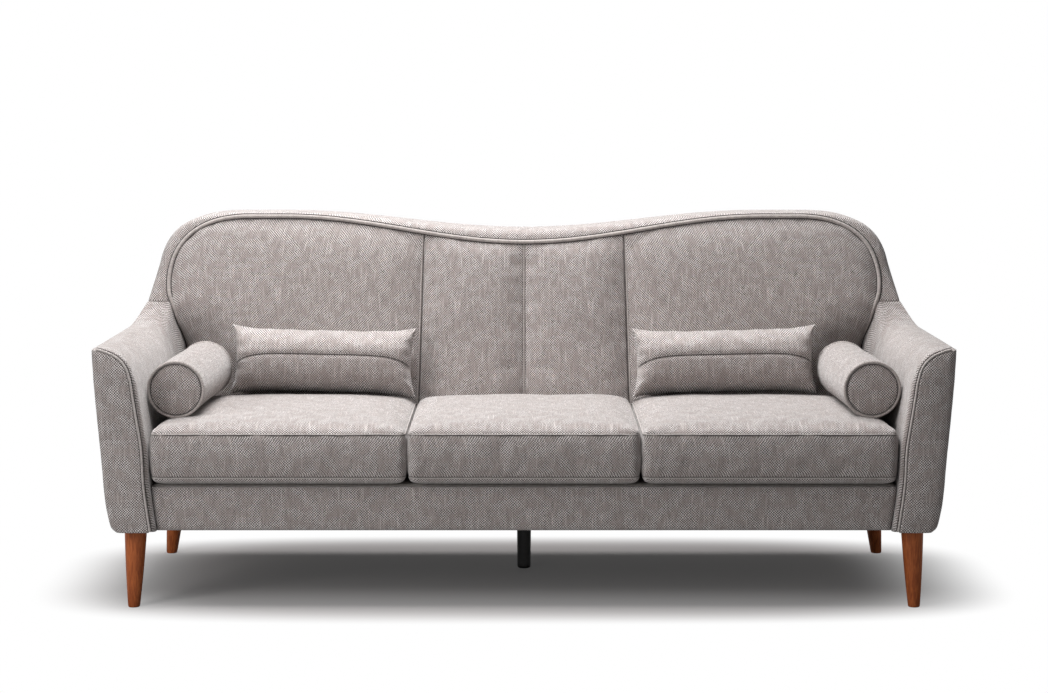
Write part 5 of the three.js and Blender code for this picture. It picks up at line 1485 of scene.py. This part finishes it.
def bolster():
    around = np.linspace(0, FULL_TURN, 97)
    barrel = []
    for share in crowded(60, 0.5):
        from_end = min(share, 1 - share) * BOLSTER_LENGTH
        draw = BOLSTER_DRAW * math.exp(-from_end / 0.006)
        gather = BOLSTER_GATHER * math.exp(-from_end / 0.028) * (1 - math.exp(-from_end / 0.004))
        wave = np.sin(around * 19 + 0.6) + 0.6 * np.sin(around * 31 + 2.0)
        radius = BOLSTER_RADIUS - draw + gather * wave
        slack = BOLSTER_SLACK * (1 - math.exp(-from_end / 0.02))
        radius = radius - slack * np.sin(around * 3 + 5 * share) * 0.5
        ring = [radius * np.cos(around), np.full(97, share * BOLSTER_LENGTH), radius * np.sin(around)]
        barrel.append(np.stack(ring, 1))
    barrel = np.array(barrel)
    discs = []
    for end, facing in ((0, -1), (-1, 1)):
        rings = []
        for share in np.sin(np.linspace(1, 0, 16) * math.pi / 2):
            ring = barrel[end] * [share, 1, share]
            swell = BOLSTER_END_CROWN * (1 - share ** 2.4) ** 0.7
            ring[:, 1] += facing * swell
            rings.append(ring)
        discs.append(np.array(rings))
    made = skin("bolster_cloth_right", [
        (barrel, np.stack(np.broadcast_arrays(
            around[None] * BOLSTER_RADIUS, barrel[:, :1, 1]), 2)),
        (discs[0], discs[0][..., ::2]), (discs[1], discs[1][..., ::2])])
    seat_bolster(made)
    return made


def seat_bolster(piece):
    """Turn a part made along y from the origin into the bolster's place beside the arm."""
    angle = math.asin(BOLSTER_TURN / BOLSTER_LENGTH)
    points = corners_of(piece)
    x = points[:, 0] * math.cos(angle) - points[:, 1] * math.sin(angle)
    y = points[:, 0] * math.sin(angle) + points[:, 1] * math.cos(angle)
    moved = np.stack([x + BOLSTER_FRONT_X, y + FRONT + BOLSTER_FRONT, points[:, 2] + BOLSTER_Z], 1)
    move_corners(piece, moved)


bolster_right = finish_pair(bolster(), cover_cloth, "bolster_right", "bolster_right", fill=0.9)
ring_angles = np.linspace(0, FULL_TURN, 73)[:-1]
# The welt ring is cut from the lighter cloth as a painted highlight, and the dark ring just inside it on the
# end disc is painted shade in the groove there.
for name, finish, inwards, past_end, radius, sides, uneven in (
    ("bolster_welt_right", highlit_welt_cloth, 0.0025, 0.0, BOLSTER_WELT, 12, 0.0005),
    ("bolster_grooves_right", painted_seam_shadow, 0.0075, 0.0032, 0.001, 8, 0.0002),
):
    ring_x = (BOLSTER_RADIUS - inwards) * np.cos(ring_angles)
    ring_z = (BOLSTER_RADIUS - inwards) * np.sin(ring_angles)
    rings = [
        np.stack([ring_x, np.full(72, depth), ring_z], 1)
        for depth in (-past_end, BOLSTER_LENGTH + past_end)
    ]
    cord = along_paths(
        name, cords, rings, closed=True,
        Radius=radius, Step=0.004, Sides=sides, Unevenness=uneven, Material=finish)
    seat_bolster(cord)
    finish_pair(cord, finish, "bolster_right")
print("bolster:", len(bolster_right.data.polygons), "faces")

# %% Lumbar pillows
pillow_low, pillow_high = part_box("pillow_right")
PILLOW_LEAN = 0.2
PILLOW_HEIGHT = 0.184
PILLOW_TIP = 0.022
PILLOW_PINCH = 0.06
PILLOW_SAG = 0.12
PILLOW_COLUMNS = 76
PILLOW_ROWS = 36
PILLOW_FRONT_SWELL = 0.08
PILLOW_REAR_SWELL = 0.042
PILLOW_SEAM_MIDDLE = 0.12
PILLOW_SEAM_FALL = 0.28
PILLOW_SEAM_SINK = 0.0032
PILLOW_CREST = 0.15
PILLOW_CREST_FALL = 0.3
FOLD_DEPTH = 0.0042
GATHER_DEPTH = 0.0006
PILLOW_X = (pillow_low.x + pillow_high.x) / 2
PILLOW_HALF = (pillow_high.x - pillow_low.x) / 2
PILLOW_Y = (pillow_low.y + pillow_high.y) / 2
PILLOW_Z = (pillow_low.z + pillow_high.z) / 2 - 0.85 * SEAT_SETTLED


def pillow_outline(u, v):
    """A knife edge with drawn-out corners: every side is pinched in between them."""
    x = u * (1 - PILLOW_PINCH * (1 - np.abs(v) ** 2.5)) * PILLOW_HALF
    z = v * (1 - PILLOW_SAG * (1 - np.abs(u) ** 5)) * PILLOW_HEIGHT / 2
    return x, z


def pillow_face(facing):
    columns, rows = PILLOW_COLUMNS, PILLOW_ROWS
    u = np.sin(np.linspace(-1, 1, columns) * math.pi / 2)[None, :] * np.ones((rows, 1))
    v = np.sin(np.linspace(-1, 1, rows) * math.pi / 2)[:, None] * np.ones((1, columns))
    x, z = pillow_outline(u, v)
    crest = PILLOW_CREST - PILLOW_CREST_FALL * np.abs(u) ** 6 if facing < 0 else 0.0
    rise = np.where(v > crest, (v - crest) / (1 - crest), (crest - v) / (1 + crest))
    along = (1 - np.abs(u) ** 8) ** 0.5
    across = (1 - rise ** 2) ** np.where(v > crest, 0.8, 0.56)
    body = along * across * (2 / np.maximum(along ** 3 + across ** 3, 1e-9)) ** (1 / 3)
    y = facing * (PILLOW_FRONT_SWELL if facing < 0 else PILLOW_REAR_SWELL) * body
    return np.stack([x, y, z], 2), np.stack([x, z], 2)


def corner_folds(points):
    """Folds that run from the gathered short sides and the corners into the pillow."""
    x, z = points[:, 0] / PILLOW_HALF, points[:, 2] / (PILLOW_HEIGHT / 2)
    x = x / (1 - PILLOW_PINCH * (1 - np.clip(np.abs(z), 0, 1) ** 2.5))
    from_end = np.clip(1 - np.abs(x), 0, 1) * PILLOW_HALF
    broad = np.sin(z * 7.5 + np.sign(x) * 0.8) * np.exp(-from_end / 0.045)
    fine = np.sin(z * 19 - np.sign(x) * 1.7) * np.exp(-from_end / 0.018)
    fan = (0.6 * broad + 1.1 * fine) * np.clip(from_end / 0.004, 0, 1)
    from_edge = (1 - np.abs(z)) * PILLOW_HEIGHT / 2
    gather = np.sin(points[:, 0] * 190) * np.exp(-from_edge / 0.01) * np.clip(from_edge / 0.004, 0, 1)
    return FOLD_DEPTH * fan + GATHER_DEPTH * gather


def lean_pillow(points):
    y = points[:, 1] * math.cos(PILLOW_LEAN) + points[:, 2] * math.sin(PILLOW_LEAN)
    z = points[:, 2] * math.cos(PILLOW_LEAN) - points[:, 1] * math.sin(PILLOW_LEAN)
    x = points[:, 0] - PILLOW_TIP * z
    return np.stack([x, y, z + PILLOW_TIP * points[:, 0]], 1)


def pillow():
    front, back = pillow_face(-1), pillow_face(1)
    made = skin("pillow_cloth_right", [front, back])
    rim = rim_of(front[0])
    held = near_points(made, [rim])
    puffed(made, held, 2.0, 0.03, 0.0022, seed=81)
    points = corners_of(made)
    side = np.sign(points[:, 1])
    points[:, 1] += side * corner_folds(points)
    move_corners(made, points)
    refine(made)
    return made


def seam_over_pillow(piece):
    """The cross seam: from the middle of each side, arching up over the front."""
    surface = BVHTree.FromObject(piece, bpy.context.evaluated_depsgraph_get())
    line = []
    for u in np.linspace(-0.985, 0.985, 160):
        x = u * PILLOW_HALF * (1 - PILLOW_PINCH)
        z = PILLOW_HEIGHT / 2 * (PILLOW_SEAM_MIDDLE - PILLOW_SEAM_FALL * abs(u) ** 6)
        hit = surface.ray_cast(Vector((x, -0.3, z)), Vector((0, 1, 0)))[0]
        if hit is not None:
            line.append(hit)
    return np.array([tuple(point) for point in line])


pillow_right = pillow()
seam_points = seam_over_pillow(pillow_right)


def press_seam(piece, line, depth, reach):
    tree = nearest_in(line)
    points = corners_of(piece)
    for i, point in enumerate(points):
        gap = tree.find(tuple(point))[2]
        if gap < reach * 3:
            points[i, 1] += depth * math.exp(-(gap / reach) ** 2)
    move_corners(piece, points)


press_seam(pillow_right, seam_points, PILLOW_SEAM_SINK, 0.006)
place_now = lean_pillow(corners_of(pillow_right))
middle = (place_now.max(0) + place_now.min(0)) / 2
pillow_home = np.array([PILLOW_X, PILLOW_Y, PILLOW_Z]) - middle
move_corners(pillow_right, place_now + pillow_home)
seam_home = lean_pillow(seam_points + [0, PILLOW_SEAM_SINK - 0.0008, 0]) + pillow_home
# The seam's cord is dark cloth: painted shade along the pressed-in seam.
pillow_seam_shade = along_paths(
    "pillow_seam_right", cords, [seam_home],
    Radius=0.0014, Step=0.004, Sides=8, Unevenness=0.0003, Material=painted_seam_shadow)
finish_pair(pillow_seam_shade, painted_seam_shadow, "pillow_right")
finish_pair(pillow_right, cover_cloth, "pillow_right", "pillow_right", fill=0.7)
print("pillow:", len(pillow_right.data.polygons), "faces")

# %% [markdown]
# ## Apron, deck and dust cover
# The apron is a padded band in front of the seat rail. The deck pad lies on the springs under the
# cushions, and a thin cloth closes the frame from below.

# %% Soft slabs
def soft_slab(name, low, high, rim, columns, rows, crown=0.0, axis=1, waves=0.0):
    """A padded slab between two corners, rounded at its rim on the side that faces out."""
    low, high = np.array(low, float), np.array(high, float)
    spans = [k for k in range(3) if k != axis]
    u = mix(low[spans[0]], high[spans[0]], crowded(columns, 0.4))
    v = mix(low[spans[1]], high[spans[1]], crowded(rows, 0.75))
    grid_u, grid_v = np.meshgrid(u, v)
    gap = np.minimum.reduce([
        grid_u - u[0], u[-1] - grid_u, grid_v - v[0], v[-1] - grid_v])
    share = np.clip(gap / rim, 0, 1)
    rise = np.sqrt(1 - (1 - share) ** 2)
    half = (v[-1] - v[0]) / 2
    dome = 1 - np.clip(np.abs(grid_v - (v[0] + half)) / half, 0, 1) ** 2
    facing = -1 if axis == 1 else 1
    outer_face, inner_face = (low[axis], high[axis]) if axis == 1 else (high[axis], low[axis])
    depth = outer_face - facing * rim * (1 - rise) + facing * crown * dome
    sheets = []
    for layer in (depth, np.full_like(depth, inner_face)):
        sheet = np.zeros((*depth.shape, 3))
        sheet[..., spans[0]], sheet[..., spans[1]], sheet[..., axis] = grid_u, grid_v, layer
        sheets.append(sheet)
    if waves:
        points = sheets[0].reshape(-1, 3)
        push = soft_noise(points, 0.22, 41).reshape(depth.shape) * waves * np.clip(gap / 0.02, 0, 1)
        sheets[0][..., axis] += facing * push
    return skin(name, [patch(sheets[0]), patch(sheets[1]), patch(edge_between(*sheets))])


ARM_SIDE_GAP = 0.001
apron_low, apron_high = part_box("front_apron")
apron = soft_slab(
    "apron_cloth", apron_low, apron_high, 0.007, crown=0.003, columns=160, rows=26, waves=0.0006)
ends = corners_of(apron)
_, inner_face = arm_section(apron_low.y - FRONT, 0.0)
inner_face = inner_face[inner_face[:, 1] < apron_high.z + 0.02][::-1]
reach = np.interp(ends[:, 2], inner_face[:, 1], inner_face[:, 0]) - ARM_SIDE_GAP
ends[:, 0] *= mix(1, reach / apron_high.x, np.abs(ends[:, 0] / apron_high.x) ** 6)
move_corners(apron, ends)
finish_piece(apron, cover_cloth, "sofa_frame", "front_apron", fill=0.6)
print("apron:", len(apron.data.polygons), "faces")

# %% Deck pad
deck_low, deck_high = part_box("deck_pad")
deck = soft_slab("deck_pad_cloth", deck_low, deck_high, 0.004, columns=80, rows=40, axis=2)
finish_piece(deck, deck_cloth, "sofa_frame", "deck_pad", fill=0.4)
print("deck pad:", len(deck.data.polygons), "faces")

# %% [markdown]
# ## The legs
# Two turned legs stand in front and two lean outwards at the back, with a black one under the
# middle. Each is a profile turned round its axis; the axis of the outer legs leans.

# %% Turned legs
LEG_SIDES = 56
LEG_TOP_RADIUS = 0.0275
LEG_FOOT_RADIUS = 0.0145
LEG_HEIGHT = BODY_FLOOR - 0.0003
LEG_SWELL = 0.0012
STUD_RADIUS = 0.004
STUD_LENGTH = 0.03


def leg_profile(top_radius, foot_radius, swell, foot_round):
    profile = [(0.0, 0.0)]
    for turn in np.linspace(0, math.pi / 2, 6):
        radius = foot_radius - foot_round + foot_round * math.sin(turn)
        profile.append((radius, foot_round * (1 - math.cos(turn))))
    for share in np.linspace(0.04, 0.985, 26):
        radius = mix(foot_radius, top_radius, share) + swell * math.sin(math.pi * share)
        profile.append((radius, LEG_HEIGHT * share))
    for turn in np.linspace(0.3, math.pi / 2, 5):
        profile.append((top_radius - 0.002 * (1 - math.cos(turn)), LEG_HEIGHT - 0.002 * (1 - math.sin(turn))))
    profile.append((STUD_RADIUS, LEG_HEIGHT))
    return profile


def stud_profile():
    """The threaded stud, from the leg's top up."""
    profile = []
    turns = 22
    for i in range(turns * 2 + 1):
        radius = STUD_RADIUS - (0.0004 if i % 2 else 0.0)
        profile.append((radius, LEG_HEIGHT + STUD_LENGTH * 0.95 * i / (turns * 2)))
    top = LEG_HEIGHT + STUD_LENGTH - 0.0032
    return profile + [(STUD_RADIUS - 0.001, top), (0.0, top)]


print("leg is", round(LEG_HEIGHT, 4), "tall")

# %% Legs in walnut and in black
def turned(name, profile, lean, axis):
    """Turn a profile of (radius, height) round an upright axis whose foot leans outwards."""
    angles = np.linspace(0, FULL_TURN, LEG_SIDES + 1)
    rows = []
    for radius, z in profile:
        below = max(1 - z / LEG_HEIGHT, 0.0)
        rows.append(np.stack([
            axis[0] + radius * np.cos(angles) + lean[0] * below,
            axis[1] + radius * np.sin(angles) + lean[1] * below,
            np.full(len(angles), z)], 1))
    grid = np.array(rows)
    return skin(name, [(grid, flat_cloth(grid))])


FRONT_LEG_LEAN = (0.008, 0.0)
BACK_LEG_LEAN = (0.023, 0.015)
CENTRE_TOP_RADIUS = 0.0195
CENTRE_FOOT_RADIUS = 0.0175
outer_profile = leg_profile(LEG_TOP_RADIUS, LEG_FOOT_RADIUS, LEG_SWELL, 0.003) + stud_profile()
centre_profile = leg_profile(CENTRE_TOP_RADIUS, CENTRE_FOOT_RADIUS, 0.0, 0.006) + stud_profile()
for place_name, lean in (("front", FRONT_LEG_LEAN), ("back", BACK_LEG_LEAN)):
    low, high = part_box("leg_" + place_name + "_right")
    axis_x = low.x + LEG_TOP_RADIUS
    axis_y = low.y + LEG_TOP_RADIUS
    leg = turned("walnut_leg_" + place_name + "_right", outer_profile, lean, (axis_x, axis_y))
    finish_pair(leg, walnut, "sofa_frame", "leg_" + place_name + "_right")
low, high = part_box("leg_centre")
centre_axis = ((low.x + high.x) / 2, (low.y + high.y) / 2)
black_leg = turned("black_leg_centre", centre_profile, (0.0, 0.0), centre_axis)
finish_piece(black_leg, black_lacquer, "sofa_frame", "leg_centre")
print("legs: outer", len(leg.data.polygons), "faces, centre", len(black_leg.data.polygons), "faces")

# %% [markdown]
# ## Under and inside
# The dust cover is one sheet of thin black cloth, stapled along the rails, with a hole where the
# centre leg passes. The timber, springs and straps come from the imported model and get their
# finishes here.

# %% Dust cover with its staples
DUST_SAG = 0.0015
DUST_WALL = 0.0008
DUST_HOLE = 0.03
STAPLE_PITCH = 0.045
STAPLE_LENGTH = 0.01
STAPLE_RADIUS = 0.0005
STAPLE_INSET = 0.009
dust_low, dust_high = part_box("dust_cover")


def dust_cover():
    columns, rows = 120, 60
    across = np.linspace(dust_low.x, dust_high.x, columns)
    along = np.linspace(dust_low.y, dust_high.y, rows)
    x, y = np.meshgrid(across, along)
    gap = np.minimum.reduce([x - dust_low.x, dust_high.x - x, y - dust_low.y, dust_high.y - y])
    points = np.stack([x, y, np.zeros_like(x)], 2).reshape(-1, 3)
    sag = DUST_SAG * np.clip(gap / 0.12, 0, 1) * (0.7 + 0.3 * soft_noise(points, 0.35, 51).reshape(x.shape))
    lower = np.stack([x, y, dust_low.z + 0.0012 - sag], 2)
    made = skin("dust_cloth", [patch(lower)])
    turn_outwards(made, lambda c: c + [0, 0, 1])
    drop_faces(made, lambda c: math.hypot(c.x - leg_hole.x, c.y - leg_hole.y) < DUST_HOLE)
    thicken(made, DUST_WALL)
    return made


leg_hole = (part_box("leg_centre")[0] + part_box("leg_centre")[1]) / 2
dust = finish_piece(dust_cover(), dust_felt, "sofa_frame", "dust_cover")
left_x, right_x = dust_low.x + STAPLE_INSET, dust_high.x - STAPLE_INSET
near_y, far_y = dust_low.y + STAPLE_INSET, dust_high.y - STAPLE_INSET
staple_line = [
    (x, y, dust_low.z + DUST_WALL)
    for x, y in ((left_x, near_y), (right_x, near_y), (right_x, far_y), (left_x, far_y))
]
staples = along_paths(
    "dust_staples", stitches, [staple_line], closed=True,
    Pitch=STAPLE_PITCH, Length=STAPLE_LENGTH, Radius=STAPLE_RADIUS, Material=spring_steel)
finish_piece(staples, spring_steel, "sofa_frame")
print("dust cover:", len(dust.data.polygons), "faces, staples:", len(staples.data.polygons), "faces")

# %% Finishes of the timber, springs, plates and straps
def paint(finish, *names):
    for name in names:
        piece = bpy.data.objects[name]
        for held in piece.material_slots:
            held.material = finish


paint(beech_across, "front_rail", "back_rail", "back_top_rail", "back_lower_rail")
paint(beech_deep, "centre_stretcher")
paint(beech_up, "back_centre_upright")
for side in ("left", "right"):
    paint(beech_deep, "side_rail_" + side, "arm_top_rail_" + side)
    paint(beech_up, "back_post_" + side, "arm_former_" + side)
    for end in ("front", "back"):
        paint(beech_deep, "corner_block_" + end + "_" + side)
        paint(spring_steel, "leg_plate_" + end + "_" + side)
    paint(web_cloth, "back_web_inner_" + side, "back_web_outer_" + side)
paint(spring_steel, "leg_plate_centre", "seat_spring_left", "seat_spring_centre", "seat_spring_right")
print("inner pieces painted")

# %% [markdown]
# ## The studio
# A pale floor takes a soft shadow and fades to white around it. One large soft light hangs above, a
# smaller one stands low in front on the left, and a dim sky fills the rest. What the camera and the
# gloss see of the sky is pure white. Close to the sofa the floor also glows faintly for the camera, painted
# light that lightens its shadow, most of all in front.

# %% Floor, lights and sky
FLOOR_SIZE = 14.0
floor_mesh = bpy.data.meshes.new("floor")
half_floor = FLOOR_SIZE / 2
floor_corners = [(x * half_floor, y * half_floor, 0) for x, y in ((-1, -1), (1, -1), (1, 1), (-1, 1))]
floor_mesh.from_pydata(floor_corners, [], [(0, 1, 2, 3)])
floor = bpy.data.objects.new("floor", floor_mesh)
bpy.context.scene.collection.objects.link(floor)
floor_finish, floor_tree, floor_shader = new_finish("floor_paper", 0.9)
FLOOR_PALE = (0.3, 0.3, 0.3, 1)
FLOOR_SEEN = (0.41, 0.388, 0.384, 1)
# The floor's lift is painted light: for the camera, the floor near the sofa glows faintly to lighten its
# shadow, and glows more in a strip in front of the sofa, standing in for light reaching under the seat.
PAINTED_SHADOW_LIFT = 0.04
PAINTED_FRONT_LIGHT = 0.13
GROUND_HALF = (1.1, 0.5)
FADE_START, FADE_END = 0.3, 1.7
NEAR_START, NEAR_END = 0.12, 0.42
seen_rays = node(floor_tree, "ShaderNodeLightPath").outputs["Is Camera Ray"]
floor_place = node(floor_tree, "ShaderNodeTexCoord").outputs["Object"]
ground = node(floor_tree, "ShaderNodeSeparateXYZ", None, Vector=floor_place)


def far_out(axis):
    """The fourth power of the distance from the middle, in halves of the shaded ground."""
    share = maths(floor_tree, "DIVIDE", ground.outputs[axis], GROUND_HALF[axis])
    return maths(floor_tree, "POWER", maths(floor_tree, "ABSOLUTE", share), 4.0)


away = maths(floor_tree, "ADD", far_out(0), far_out(1))
fade = spread(floor_tree, away, FADE_START, FADE_END)
towards_front = maths(floor_tree, "MULTIPLY", ground.outputs[1], -1.0)
painted_front_share = spread(floor_tree, towards_front, NEAR_START, NEAR_END)
near_seen = mixed(floor_tree, fade, FLOOR_SEEN, (0, 0, 0, 1))
floor_tree.links.new(mixed(floor_tree, seen_rays, FLOOR_PALE, near_seen), floor_shader.inputs["Base Color"])
# Painted light: the glow near the sofa, stronger towards the front.
lift = maths(floor_tree, "ADD", maths(floor_tree, "MULTIPLY", painted_front_share, PAINTED_FRONT_LIGHT), PAINTED_SHADOW_LIFT)
kept_lift = maths(floor_tree, "MULTIPLY", lift, maths(floor_tree, "SUBTRACT", 1.0, fade))
glow = maths(floor_tree, "ADD", kept_lift, fade)
floor_shader.inputs["Emission Color"].default_value = (1, 1, 1, 1)
floor_tree.links.new(maths(floor_tree, "MULTIPLY", glow, seen_rays), floor_shader.inputs["Emission Strength"])
floor_shader.inputs["Specular IOR Level"].default_value = 0.0
floor_mesh.materials.append(floor_finish)


def soft_light(name, at, aim, size, power):
    data = bpy.data.lights.new(name, "AREA")
    data.shape = "RECTANGLE"
    data.size, data.size_y = size
    data.energy = power
    light = bpy.data.objects.new(name, data)
    light.location = at
    light.rotation_euler = (Vector(aim) - Vector(at)).to_track_quat("-Z", "Y").to_euler()
    bpy.context.scene.collection.objects.link(light)
    return light


soft_light("overhead", (-0.4, 0.12, 3.0), (0, 0.0, 0.4), (3.0, 1.4), 159)
soft_light("left_front", (-2.6, -2.6, 1.5), (-0.3, -0.2, 0.45), (1.4, 1.4), 48)

sky = bpy.data.worlds.new("sky")
sky.use_nodes = True
bpy.context.scene.world = sky
sky_tree = sky.node_tree
sky_shader = sky_tree.nodes["Background"]
sky_shader.inputs["Strength"].default_value = 1.0
rays = node(sky_tree, "ShaderNodeLightPath")
seen = maths(sky_tree, "MAXIMUM", rays.outputs["Is Camera Ray"], rays.outputs["Is Glossy Ray"])
seen = maths(sky_tree, "MAXIMUM", seen, rays.outputs["Is Transmission Ray"])
SKY_LEVEL = 0.18
sky_tree.links.new(
    mixed(sky_tree, seen, (SKY_LEVEL, SKY_LEVEL, SKY_LEVEL, 1), (1, 1, 1, 1)), sky_shader.inputs["Color"])
bpy.context.scene.view_settings.view_transform = "Standard"
print("sky level", SKY_LEVEL)
